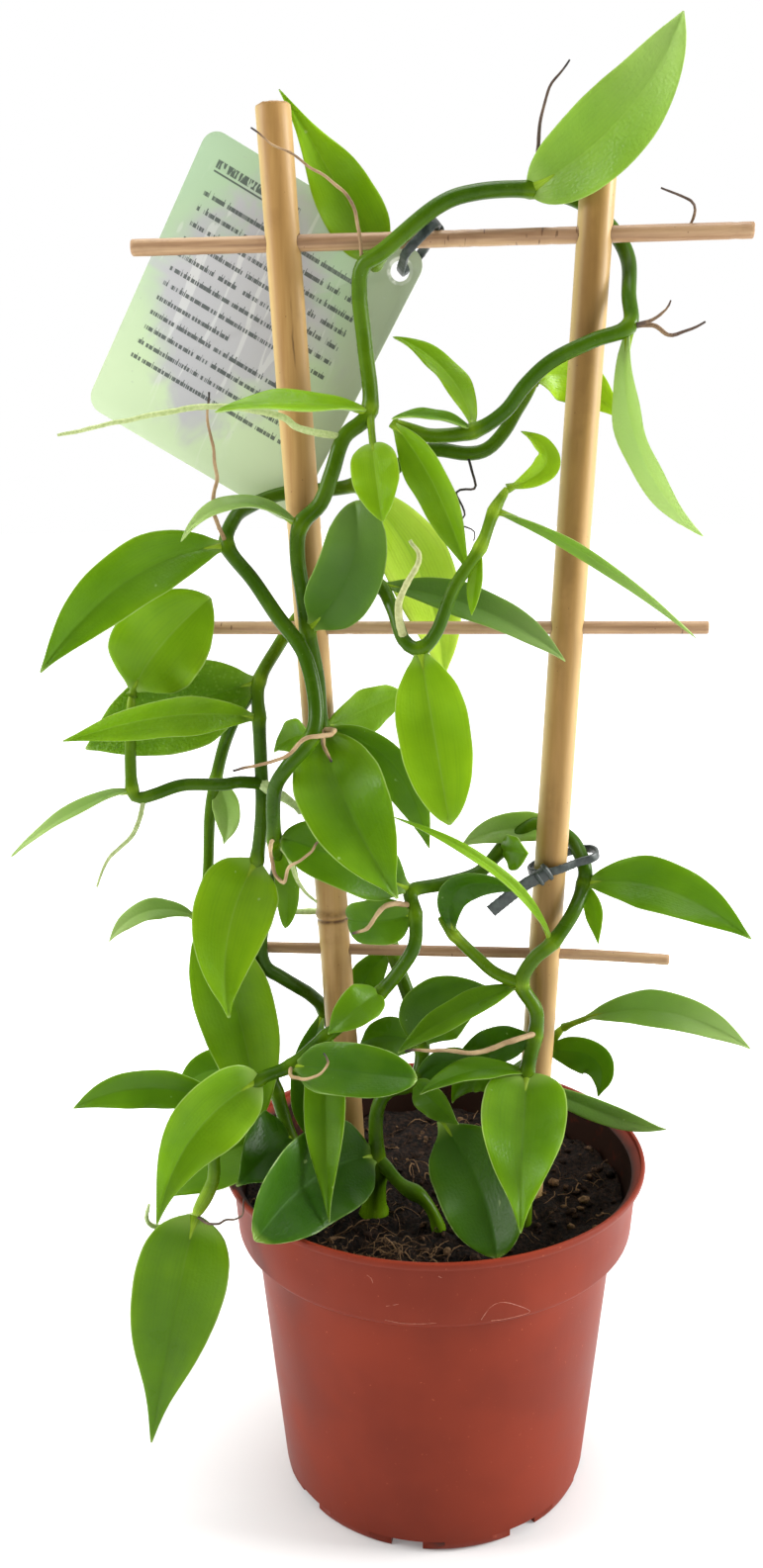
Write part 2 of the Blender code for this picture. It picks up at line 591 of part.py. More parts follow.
def make_cane(name, cane, parts, cutters):
    """Bamboo cane with joint rings, a pith hole at its cut end and drilled cross holes."""
    place, length = cane_place(cane)
    top = length - PITH_DEPTH
    profile = (
        (0.0, top), (PITH_RADIUS, top), (PITH_RADIUS, length),
        *cane_profile(cane, length), (0.0, 0.0),
    )
    body = turned(name, profile, CANE_SIDES, parts, "bamboo")
    bake(body)
    body.data.transform(place)
    foot, head = Vector(cane.foot), Vector(cane.head)
    tools = []
    for rung_name, rung in RUNGS.items():
        at = foot.lerp(head, (rung.height - foot.z) / (head.z - foot.z))
        bm = bmesh.new()
        bmesh.ops.create_cone(
            bm, cap_ends=True, segments=RUNG_SIDES, radius1=(rung.radius + GAP) * MM,
            radius2=(rung.radius + GAP) * MM, depth=4 * cane.foot_radius * MM,
            matrix=Matrix.Translation(at * MM) @ Matrix.Rotation(math.pi / 2, 4, "Y"),
        )
        tools.append(from_bmesh(f"{name}_{rung_name}", bm, cutters))
    cut(body, tools)
    bake(body)
    shade_round(body)
    return body


def cane_hole(name, cane, cutters):
    """The hole that a cane makes in the soil."""
    place, length = cane_place(cane)
    low, high = -GAP, (SOIL_TOP + 12.0) - cane.foot[2]
    radius = cane.foot_radius + JOINT_SWELL + GAP
    hole = turned(name, ((0.0, high), (radius, high), (radius, low), (0.0, low)), CANE_SIDES, cutters)
    bake(hole)
    hole.data.transform(place)
    return hole


def make_rung(name, rung, parts):
    bm = bmesh.new()
    middle = Vector(((rung.left + rung.right) / 2, 0.0, rung.height))
    bmesh.ops.create_cone(
        bm, cap_ends=True, segments=RUNG_SIDES, radius1=rung.radius * MM, radius2=0.96 * rung.radius * MM,
        depth=(rung.right - rung.left) * MM,
        matrix=Matrix.Translation(middle * MM) @ Matrix.Rotation(math.pi / 2, 4, "Y"),
    )
    bar = from_bmesh(name, bm, parts, "rung_wood")
    shade_round(bar)
    return bar


def card_place():
    lean = Matrix.Rotation(math.radians(CARD_LEAN), 4, "Y")
    return Matrix.Translation(Vector(CARD_CENTRE) * MM) @ lean @ Matrix.Rotation(math.pi / 2, 4, "X")


def add_ring(curve, points):
    spline = curve.splines.new("POLY")
    spline.use_cyclic_u = True
    spline.points.add(len(points) - 1)
    for target, (x, y) in zip(spline.points, points):
        target.co = (x * MM, y * MM, 0.0, 1.0)


def make_card(parts):
    """Card with rounded corners and a hole near its upper right corner."""
    half_width, half_height = CARD_SIZE[0] / 2, CARD_SIZE[1] / 2
    outline = []
    for side_x, side_y, start in ((1, 1, 0), (-1, 1, 90), (-1, -1, 180), (1, -1, 270)):
        for step in range(4):
            angle = math.radians(start + step * 30)
            outline.append((
                side_x * (half_width - CARD_CORNER) + CARD_CORNER * math.cos(angle),
                side_y * (half_height - CARD_CORNER) + CARD_CORNER * math.sin(angle),
            ))
    hole = [
        (CARD_HOLE[0] + CARD_HOLE_RADIUS * math.cos(a), CARD_HOLE[1] + CARD_HOLE_RADIUS * math.sin(a))
        for a in (math.radians(-30 * k) for k in range(12))
    ]
    curve = bpy.data.curves.new("label_card", "CURVE")
    curve.dimensions = "2D"
    curve.fill_mode = "BOTH"
    curve.extrude = CARD_THICKNESS / 2 * MM
    add_ring(curve, outline)
    add_ring(curve, hole)
    card = mesh_of_curve("label_card", curve, parts, card_place())
    card.data.materials.append(finish("printed_card"))
    return card


def strap_loop(name, points, place, collection):
    """A flat strap bent round a closed loop of (x, y) points; its width stands across the loop's plane."""
    curve = bpy.data.curves.new(name, "CURVE")
    curve.dimensions = "2D"
    curve.fill_mode = "NONE"
    curve.bevel_depth = STRAP_THICKNESS / 2 * MM
    curve.bevel_resolution = 0
    curve.extrude = (STRAP_WIDTH - STRAP_THICKNESS) / 2 * MM
    add_ring(curve, points)
    return mesh_of_curve(name, curve, collection, place)


def block(name, size, place, collection):
    bm = bmesh.new()
    bmesh.ops.create_cube(bm, size=1.0, matrix=place @ Matrix.Diagonal((*(Vector(size) * MM), 1.0)))
    return from_bmesh(name, bm, collection)


def make_tie_top(parts):
    """Strap through the card's hole, round the top rung and back behind the card."""
    rise = math.radians(TIE_TOP_RISE)
    along = Vector((math.cos(rise), 0.0, math.sin(rise)))
    across = Vector((0.0, 1.0, 0.0))
    place = Matrix.Translation(Vector(TIE_TOP_FOOT) * MM) @ Matrix(
        (along, across, along.cross(across))
    ).transposed().to_4x4()
    tie = strap_loop("tie_top", TIE_TOP_LOOP, place, parts)
    seat = place @ Matrix.Translation(Vector(SMALL_BUCKLE_PLACE) * MM)
    buckle = block("tie_top_buckle", SMALL_BUCKLE, seat, parts)
    join_all(tie, [buckle])
    tie.data.materials.append(finish("tie_plastic"))
    return tie


def make_tie_right(parts):
    """Strap round the right cane and the stem beside it, with a buckle in front and a loose tail."""
    foot = Vector(TIE_RIGHT_FOOT)
    slope = Matrix.Rotation(math.radians(-TIE_RIGHT_SLOPE), 4, "Y")
    place = Matrix.Translation(foot * MM) @ slope @ Matrix.Translation((-foot.x * MM, 0, 0))
    tie = strap_loop("tie_right", TIE_RIGHT_LOOP, place, parts)
    start, end = Vector(TIE_RIGHT_TAIL[0]), Vector(TIE_RIGHT_TAIL[-1])
    lean = (end - start).to_track_quat("X", "Z").to_matrix().to_4x4()
    seat = Matrix.Translation((start + Vector(BUCKLE_SHIFT)) * MM) @ lean
    pieces = [block("tie_right_buckle", BUCKLE, seat, parts)]
    for index, (a, b) in enumerate(zip(TIE_RIGHT_TAIL, TIE_RIGHT_TAIL[1:])):
        a, b = Vector(a), Vector(b)
        turn = (b - a).to_track_quat("X", "Z").to_matrix().to_4x4()
        size = ((b - a).length + TAIL_LAP, STRAP_THICKNESS, TAIL_WIDTH)
        pieces.append(block(f"tie_tail_{index}", size, Matrix.Translation((a + b) / 2 * MM) @ turn, parts))
    join_all(tie, pieces)
    tie.data.materials.append(finish("tie_plastic"))
    return tie


def blade_frame(base, middle, tip, turn, t):
    """Midrib point, side and face direction of a blade at t from 0, its base, to 1, its tip."""
    control = 2 * middle - (base + tip) / 2
    point = (1 - t) ** 2 * base + 2 * t * (1 - t) * control + t * t * tip
    along = ((1 - t) * (control - base) + t * (tip - control)).normalized()
    chord = (tip - base).normalized()
    toward = VIEWER - (base + tip) / 2
    face = (toward - toward.dot(chord) * chord).normalized()
    face = Matrix.Rotation(math.radians(turn), 3, chord) @ face
    face = (face - face.dot(along) * along).normalized()
    return point, along.cross(face), face


def make_blade(name, base, leaf, collection):
    """A thin blade with a shallow fold along its midrib, the same triangles on both faces."""
    base, middle, tip = Vector(base), Vector(leaf.middle), Vector(leaf.tip)
    fold = math.radians(BLADE_FOLD)
    last = len(BLADE_STATIONS) - 1
    bm = bmesh.new()
    bmesh.ops.create_grid(bm, x_segments=last, y_segments=2, size=0.5)
    for vertex in bm.verts:
        station = round((vertex.co.x + 0.5) * last)
        side = round(2 * vertex.co.y)
        half = max(leaf.outline[station] * leaf.width / 2, BLADE_END)
        point, across, face = blade_frame(base, middle, tip, leaf.turn, BLADE_STATIONS[station])
        place = point + across * (side * half * math.cos(fold)) + face * (abs(side) * half * math.sin(fold))
        vertex.co = place * MM
    bmesh.ops.triangulate(bm, faces=bm.faces)
    bmesh.ops.solidify(bm, geom=bm.faces, thickness=BLADE_THICKNESS * MM)
    bmesh.ops.recalc_face_normals(bm, faces=bm.faces)
    return from_bmesh(name, bm, collection)


def make_vine(name, vine, parts):
    """One leafy stem: its stem and side shoots, every leaf and every air root, joined as one body."""
    stem, *shoots = (
        tube(
            name if index == 0 else f"{name}_shoot_{index}", smooth_route(route, STEM_STEP),
            SHOOT_RADIUS if index else STEM_RADIUS, parts, STEM_RINGS,
        )
        for index, route in enumerate(vine.routes)
    )
    pieces = list(shoots)
    for index, leaf in enumerate(vine.leaves):
        route, point = leaf.place
        pieces.append(make_blade(f"{name}_leaf_{index}", vine.routes[route][point], leaf, parts))
    for index, root in enumerate(vine.roots):
        path = smooth_route(root, ROOT_STEP)
        pieces.append(tube(f"{name}_root_{index}", path, ROOT_RADIUS, parts, ROOT_RINGS))
    join_all(stem, pieces)
    stem.data.materials.clear()
    stem.data.materials.append(finish("leaf_green"))
    shade_round(stem, 35.0)
    return stem


def stem_holes(cutters):
    """The hole of each stem or shoot that enters the soil, a little wider than the stem."""
    holes = []
    for name, vine in VINES.items():
        for index, route in enumerate(vine.routes):
            low = min((route[0], route[-1]), key=lambda point: point[2])
            if low[2] > SOIL_TOP:
                continue
            way = route if low == route[0] else route[::-1]
            points = smooth_route(way, STEM_STEP)
            points = [Vector(points[0]) - Vector((0, 0, 2 * GAP)), *points[1:]]
            count = sum(1 for point in points if point[2] < SOIL_TOP + 8.0)
            radius = (SHOOT_RADIUS if index else STEM_RADIUS) + 2 * GAP
            holes.append(tube(f"{name}_hole_{index}", points[:count + 1], radius, cutters, STEM_RINGS))
    return holes


def main():
    clear_scene()
    parts = new_collection("vanilla_orchid")
    cutters = new_collection("cutters", hidden=True)
    make_pot(parts, cutters)
    make_cane("cane_left", CANE_LEFT, parts, cutters)
    make_cane("cane_right", CANE_RIGHT, parts, cutters)
    for name, rung in RUNGS.items():
        make_rung(name, rung, parts)
    make_card(parts)
    make_tie_top(parts)
    make_tie_right(parts)
    for name, vine in VINES.items():
        make_vine(name, vine, parts)
    holes = [cane_hole("hole_left", CANE_LEFT, cutters), cane_hole("hole_right", CANE_RIGHT, cutters)]
    make_soil(parts, [*holes, *stem_holes(cutters)])


main()
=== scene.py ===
"""Looks of a climbing vanilla orchid in a terracotta-coloured nursery pot, tied to a bamboo ladder.

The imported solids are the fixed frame. Each sub-assembly below is a class that builds its own pieces around
that frame in millimetres, and each finish is a small frozen dataclass that makes one node material.
"""

import logging
import math
import random
from collections.abc import Callable, Sequence
from dataclasses import dataclass
from enum import Enum

import bmesh
import bpy
from mathutils import Matrix, Vector, noise


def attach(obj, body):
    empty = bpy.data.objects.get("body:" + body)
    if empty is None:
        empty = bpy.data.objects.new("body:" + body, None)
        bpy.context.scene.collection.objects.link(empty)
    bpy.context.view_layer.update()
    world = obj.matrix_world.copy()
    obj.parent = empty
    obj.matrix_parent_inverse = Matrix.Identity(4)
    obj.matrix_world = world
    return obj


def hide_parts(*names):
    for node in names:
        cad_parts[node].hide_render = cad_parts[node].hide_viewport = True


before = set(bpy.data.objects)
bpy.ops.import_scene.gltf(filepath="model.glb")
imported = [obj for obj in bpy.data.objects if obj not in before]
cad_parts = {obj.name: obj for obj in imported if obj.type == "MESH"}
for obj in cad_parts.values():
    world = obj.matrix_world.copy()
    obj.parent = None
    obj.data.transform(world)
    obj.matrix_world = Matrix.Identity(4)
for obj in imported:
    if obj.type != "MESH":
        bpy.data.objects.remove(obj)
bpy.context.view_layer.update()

LOG = logging.getLogger("vanilla_orchid")
MM = 0.001
WELD = 0.002 * MM
BODY = "root"
SWAY_SEED = 7

Point = tuple[float, float, float]
Pair = tuple[float, float]
Colour = tuple[float, float, float]
Stop = tuple[float, Colour]


class Slot(Enum):
    """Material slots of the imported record."""

    POT = "pot_plastic"
    SOIL = "soil"
    BAMBOO = "bamboo"
    RUNG = "rung"
    CARD = "card"
    TIE = "tie"
    FOLIAGE = "foliage"


class Outline(Enum):
    """Outlines of a blade: share of its half width at each share of its length."""

    OVAL = (
        (0.0, 0.10), (0.05, 0.22), (0.12, 0.52), (0.25, 0.86), (0.40, 1.0),
        (0.56, 0.95), (0.72, 0.74), (0.84, 0.46), (0.93, 0.18), (1.0, 0.03),
    )
    SLIM = (
        (0.0, 0.12), (0.05, 0.22), (0.12, 0.46), (0.25, 0.78), (0.42, 1.0),
        (0.60, 0.93), (0.76, 0.70), (0.88, 0.38), (0.95, 0.16), (1.0, 0.03),
    )
    BROAD = (
        (0.0, 0.12), (0.04, 0.40), (0.10, 0.74), (0.22, 0.98), (0.36, 1.0),
        (0.52, 0.88), (0.68, 0.64), (0.82, 0.36), (0.92, 0.14), (1.0, 0.03),
    )
    EGG = (
        (0.0, 0.20), (0.03, 0.42), (0.08, 0.64), (0.16, 0.84), (0.28, 0.97), (0.38, 1.0),
        (0.52, 0.95), (0.66, 0.80), (0.80, 0.56), (0.90, 0.32), (0.96, 0.14), (1.0, 0.02),
    )
    PAD = (
        (0.0, 0.12), (0.06, 0.24), (0.12, 0.52), (0.20, 0.82), (0.32, 0.98), (0.46, 1.0),
        (0.62, 0.96), (0.76, 0.86), (0.87, 0.66), (0.94, 0.44), (0.98, 0.24), (1.0, 0.05),
    )
    HEART = (
        (0.0, 0.16), (0.03, 0.46), (0.09, 0.76), (0.19, 0.95), (0.30, 1.0), (0.42, 0.95),
        (0.52, 0.84), (0.62, 0.67), (0.72, 0.46), (0.82, 0.26), (0.92, 0.11), (1.0, 0.02),
    )
    BLUNT = (
        (0.0, 0.12), (0.05, 0.25), (0.12, 0.52), (0.26, 0.88), (0.42, 1.0),
        (0.58, 0.98), (0.74, 0.84), (0.87, 0.58), (0.95, 0.32), (1.0, 0.04),
    )


@dataclass(frozen=True)
class Leaf:
    """One blade: its stem point (route, point), two more midrib points in mm, width, roll and looks; its tone
    stands partly for age and partly for painted light and shade.
    """

    place: tuple[int, int]
    middle: Point
    tip: Point
    width: float
    turn: float
    outline: Outline
    tone: float
    speck: float = 0.0
    pale: float = 0.0
    stalk: float = 0.0


@dataclass(frozen=True)
class Root:
    """One air root: its points in mm, its thickness, how green it still is and how far it has dried."""

    points: Sequence[Point]
    radius: float = 0.6
    green: float = 0.0
    dark: float = 0.0


def within(value: float, low: float = 0.0, high: float = 1.0) -> float:
    """The value, kept between two limits."""
    return max(low, min(high, value))


def bell(off: float, width: float) -> float:
    """A soft bump: 1 in its middle and nearly 0 two widths away."""
    return math.exp(-(off / width) ** 2)


def polar(radius: float, angle: float) -> Pair:
    """The place at a distance from the middle and an angle in radians."""
    return radius * math.cos(angle), radius * math.sin(angle)


def scattered(chance: random.Random, reach: float) -> Pair:
    """A random place within a reach of the middle."""
    return polar(reach * math.sqrt(chance.random()), chance.uniform(0, math.tau))


def turned(degrees: float, axis: str) -> Matrix:
    """A turn about one of the axes."""
    return Matrix.Rotation(math.radians(degrees), 4, axis)


def hermite(stations: Sequence[Pair], t: float) -> float:
    """Reads a smooth curve through the stations.

    Args:
        stations: (place, value) pairs in rising order of place.
        t: The place to read.

    Returns:
        The value there, without overshoot past a station that is a peak.
    """
    count = len(stations)
    index = max(0, min(count - 2, sum(1 for place, _ in stations if place <= t) - 1))
    (x0, y0), (x1, y1) = stations[index], stations[index + 1]
    width = x1 - x0

    def slope(middle: int) -> float:
        if middle in (0, count - 1):
            return (y1 - y0) / width
        (xa, ya), (xb, yb), (xc, yc) = stations[middle - 1: middle + 2]
        before, after = (yb - ya) / (xb - xa), (yc - yb) / (xc - xb)
        return 0.0 if before * after <= 0 else 2 * before * after / (before + after)

    u = within((t - x0) / width)
    return (
        (2 * u ** 3 - 3 * u ** 2 + 1) * y0 + (u ** 3 - 2 * u ** 2 + u) * width * slope(index)
        + (3 * u ** 2 - 2 * u ** 3) * y1 + (u ** 3 - u ** 2) * width * slope(index + 1)
    )


def smooth_route(points: Sequence[Point], step: float) -> tuple[list[Vector], list[int]]:
    """Samples a smooth curve through the route's points.

    Args:
        points: The route's own points in mm.
        step: Rough distance between samples in mm.

    Returns:
        The samples, and for each of the route's points the index of its sample.
    """
    route = [Vector(p) for p in points]
    ends = [2 * route[0] - route[1], *route, 2 * route[-1] - route[-2]]
    found: list[Vector] = []
    marks: list[int] = []
    for before, start, end, after in zip(ends, ends[1:], ends[2:], ends[3:]):
        marks.append(len(found))
        pieces = max(1, round((end - start).length / step))
        for piece in range(pieces):
            t = piece / pieces
            found.append(
                0.5 * (2 * start + (end - before) * t
                       + (2 * before - 5 * start + 4 * end - after) * t * t
                       + (3 * start - before - 3 * end + after) * t ** 3)
            )
    marks.append(len(found))
    return [*found, route[-1]], marks


def lengths_along(path: Sequence[Vector]) -> list[float]:
    """Distance from the first point to each point of the path, in mm."""
    total = [0.0]
    for a, b in zip(path, path[1:]):
        total.append(total[-1] + (b - a).length)
    return total


def carried_frames(path: Sequence[Vector], lift: Vector | None = None) -> list[tuple[Vector, Vector]]:
    """Two directions across the path at each of its points.

    Args:
        path: The points of the path.
        lift: If given, the second direction stays as near to it as it can, as a strap's width does.

    Returns:
        A pair of unit vectors for each point, carried along the path without twist.
    """
    frames: list[tuple[Vector, Vector]] = []
    normal: Vector | None = None
    for index in range(len(path)):
        along = (path[min(index + 1, len(path) - 1)] - path[max(index - 1, 0)]).normalized()
        if lift is not None:
            across = (lift - lift.dot(along) * along).normalized()
            frames.append((across.cross(along), across))
            continue
        normal = normal or along.orthogonal()
        normal = (normal - normal.dot(along) * along).normalized()
        frames.append((normal, along.cross(normal)))
    return frames


def linked(name: str, data: bpy.types.ID) -> bpy.types.Object:
    """Makes an object of the data and links it to the scene."""
    obj = bpy.data.objects.new(name, data)
    bpy.context.scene.collection.objects.link(obj)
    return obj


def evaluated(obj: bpy.types.Object) -> bpy.types.Mesh:
    """A new mesh with the shape that the object's modifiers or its curve make."""
    bpy.context.view_layer.update()
    graph = bpy.context.evaluated_depsgraph_get()
    return bpy.data.meshes.new_from_object(obj.evaluated_get(graph), depsgraph=graph)


class Form:
    """A mesh under construction, with its own UV map and three numbers at each vertex for its finish."""

    def __init__(self) -> None:
        """Starts an empty mesh."""
        self.bm = bmesh.new()
        self.uv = self.bm.loops.layers.uv.new("UVMap")
        numbers = self.bm.verts.layers.float
        self.tone, self.under, self.speck = numbers.new("tone"), numbers.new("under"), numbers.new("speck")

    def sheet(
        self, across: int, along: int, place: Callable[[int, int], Vector],
        tone: Sequence[float] | float = 0.5, under: float = 0.0, speck: float = 0.0,
        shares: Sequence[float] | None = None,
    ) -> list[bmesh.types.BMVert]:
        """Lays a grid of faces on a surface.

        Args:
            across: Number of faces across.
            along: Number of faces along.
            place: Point in mm for a column and a row.
            tone: Tone of the finish, for each row or the same everywhere.
            under: 1 on the underside of a blade.
            speck: How speckled the blade is.
            shares: U of each column, where the columns aren't even.

        Returns:
            The new vertices.
        """
        made = bmesh.ops.create_grid(self.bm, x_segments=across, y_segments=along, size=0.5)["verts"]
        for vertex in made:
            u, v = vertex.co.x + 0.5, vertex.co.y + 0.5
            column, row = round(u * across), round(v * along)
            for loop in vertex.link_loops:
                loop[self.uv].uv = (shares[column] if shares else u, v)
            vertex[self.tone] = tone if isinstance(tone, float) else tone[row]
            vertex[self.under] = under
            vertex[self.speck] = speck
            vertex.co = place(column, row) * MM
        return made

    def weld(self, vertices: Sequence[bmesh.types.BMVert], reach: float = WELD) -> None:
        """Merges the seams and poles of a surface."""
        bmesh.ops.remove_doubles(self.bm, verts=vertices, dist=reach)

    def tube(
        self, path: Sequence[Vector], radii: Sequence[float], sides: int,
        tone: Sequence[float] | float = 0.5, flat: float = 1.0, square: float = 1.0,
        lift: Vector | None = None, closed: bool = False, under: float = 0.0, cap: float | None = None,
    ) -> None:
        """Adds a closed tube along a path.

        Args:
            path: Points in mm.
            radii: Radius at each point, in mm.
            sides: Faces round the tube.
            tone: Tone at each point, or the same everywhere.
            flat: Thickness as a share of the width.
            square: 1 for a round section, less for one with squarer corners.
            lift: Direction that the width of a strap keeps to.
            closed: Whether the path is a ring.
            under: How green an air root still is.
            cap: Tone in the middle of the two ends, where it differs.
        """
        points, sizes = list(path), list(radii)
        tones = [tone] * len(points) if isinstance(tone, float) else list(tone)
        if closed:
            points, sizes, tones = [*points, points[0]], [*sizes, sizes[0]], [*tones, tones[0]]
        frames = carried_frames(points, lift)
        if closed:
            frames[0] = frames[-1] = carried_frames([points[-2], points[0], points[1]], lift)[1]
        else:
            points, frames = [points[0], *points, points[-1]], [frames[0], *frames, frames[-1]]
            sizes = [0.0, *sizes, 0.0]
            tones = [tones[0] if cap is None else cap, *tones, tones[-1] if cap is None else cap]

        def place(column: int, row: int) -> Vector:
            c, s = polar(1.0, math.tau * column / sides)
            x = math.copysign(abs(c) ** square, c) * flat * sizes[row]
            y = math.copysign(abs(s) ** square, s) * sizes[row]
            normal, across = frames[row]
            return points[row] + normal * x + across * y

        self.weld(self.sheet(sides, len(points) - 1, place, tones, under))

    def lathe(self, rows: Sequence[Pair], steps: int) -> None:
        """Spins an open profile of (radius, height) in mm once round the upright axis."""
        spun = [self.bm.verts.new((r * MM, 0.0, z * MM)) for r, z in rows]
        edges = [self.bm.edges.new((a, b)) for a, b in zip(spun, spun[1:]) if a.co.x + b.co.x > 0]
        bmesh.ops.spin(
            self.bm, geom=[*spun, *edges], cent=(0, 0, 0), axis=(0, 0, 1), angle=math.tau,
            steps=steps, use_merge=True,
        )
        self.weld(self.bm.verts)

    def block(self, size: Point, place: Matrix, edge: float) -> None:
        """Adds a box with rounded edges.

        Args:
            size: Its sides in mm.
            place: Its place, with the shift in mm.
            edge: Width of the rounding in mm.
        """
        stand = Matrix.Scale(MM, 4) @ place @ Matrix.Diagonal((*size, 1.0))
        made = bmesh.ops.create_cube(self.bm, size=1.0, matrix=stand)["verts"]
        edges = list({e for v in made for e in v.link_edges})
        bmesh.ops.bevel(
            self.bm, geom=edges, offset=edge * MM, affect="EDGES", segments=2, profile=0.5, material=-1,
        )

    def rod(self, radius: float, depth: float, place: Matrix, sides: int) -> None:
        """Adds a plain round rod, its place and its measures in mm."""
        bmesh.ops.create_cone(
            self.bm, cap_ends=True, segments=sides, radius1=radius, radius2=radius, depth=depth,
            matrix=Matrix.Scale(MM, 4) @ place,
        )

    def mesh(self, name: str) -> bpy.types.Mesh:
        """Closes the work and hands over the mesh, its normals outward."""
        bmesh.ops.recalc_face_normals(self.bm, faces=self.bm.faces)
        mesh = bpy.data.meshes.new(name)
        self.bm.to_mesh(mesh)
        self.bm.free()
        return mesh

    def finish(self, name: str, material: bpy.types.Material, slot: Slot, sharp: float) -> bpy.types.Object:
        """Turns the mesh into a piece of the object, riding on the part's body.

        Args:
            name: Name of the piece.
            material: Its finish.
            slot: The record's material slot that the finish stands for; not used.
            sharp: Edges over this angle in degrees stay sharp.

        Returns:
            The new object, at the origin.
        """
        mesh = self.mesh(name)
        mesh.shade_smooth()
        mesh.set_sharp_from_angle(angle=math.radians(sharp))
        mesh.materials.append(material)
        obj = linked(name, mesh)
        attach(obj, BODY)
        return obj


def cut_away(obj: bpy.types.Object, tools: Form, sharp: float) -> None:
    """Takes the tools' shapes away from the object and keeps the result as its mesh.

    Args:
        obj: The piece to cut.
        tools: Closed shapes, used up by the cut.
        sharp: Edges over this angle in degrees stay sharp.
    """
    cutter = linked("tools", tools.mesh("tools"))
    modifier = obj.modifiers.new("cut", "BOOLEAN")
    modifier.operation = "DIFFERENCE"
    modifier.solver = "EXACT"
    modifier.object = cutter
    result = evaluated(obj)
    obj.modifiers.clear()
    materials = list(obj.data.materials)
    obj.data = result
    result.materials.clear()
    for material in materials:
        result.materials.append(material)
    result.set_sharp_from_angle(angle=math.radians(sharp))
    bpy.data.objects.remove(cutter)


@dataclass(frozen=True)
class Signal:
    """A value at each place of a surface, from one socket of a recipe; a sum on it adds a node."""

    recipe: "Recipe"
    socket: bpy.types.NodeSocket

    def __add__(self, other: "Signal | float") -> "Signal":
        """Adds the other to it."""
        return self.recipe.math("ADD", self, other)

    def __sub__(self, other: "Signal | float") -> "Signal":
        """Takes the other from it."""
        return self.recipe.math("SUBTRACT", self, other)

    def __mul__(self, other: "Signal | float") -> "Signal":
        """Multiplies it by the other."""
        return self.recipe.math("MULTIPLY", self, other)

    def __abs__(self) -> "Signal":
        """Drops its sign."""
        return self.recipe.math("ABSOLUTE", self)

    def output(self, name: int | str) -> "Signal":
        """Another output of the same node."""
        return Signal(self.recipe, self.socket.node.outputs[name])

    def span(self, low: float, high: float, to_low: float = 0.0, to_high: float = 1.0) -> "Signal":
        """Maps a range to another, smoothly and within its ends."""
        return self.recipe.add(
            "ShaderNodeMapRange",
            {"Value": self, "From Min": low, "From Max": high, "To Min": to_low, "To Max": to_high},
            interpolation_type="SMOOTHSTEP",
        )

    def between(self, low: float, full: float, falling: float, gone: float) -> "Signal":
        """1 inside a range and 0 outside: it rises from low to full and falls from falling to gone."""
        return self.span(low, full) * self.span(falling, gone, 1.0, 0.0)


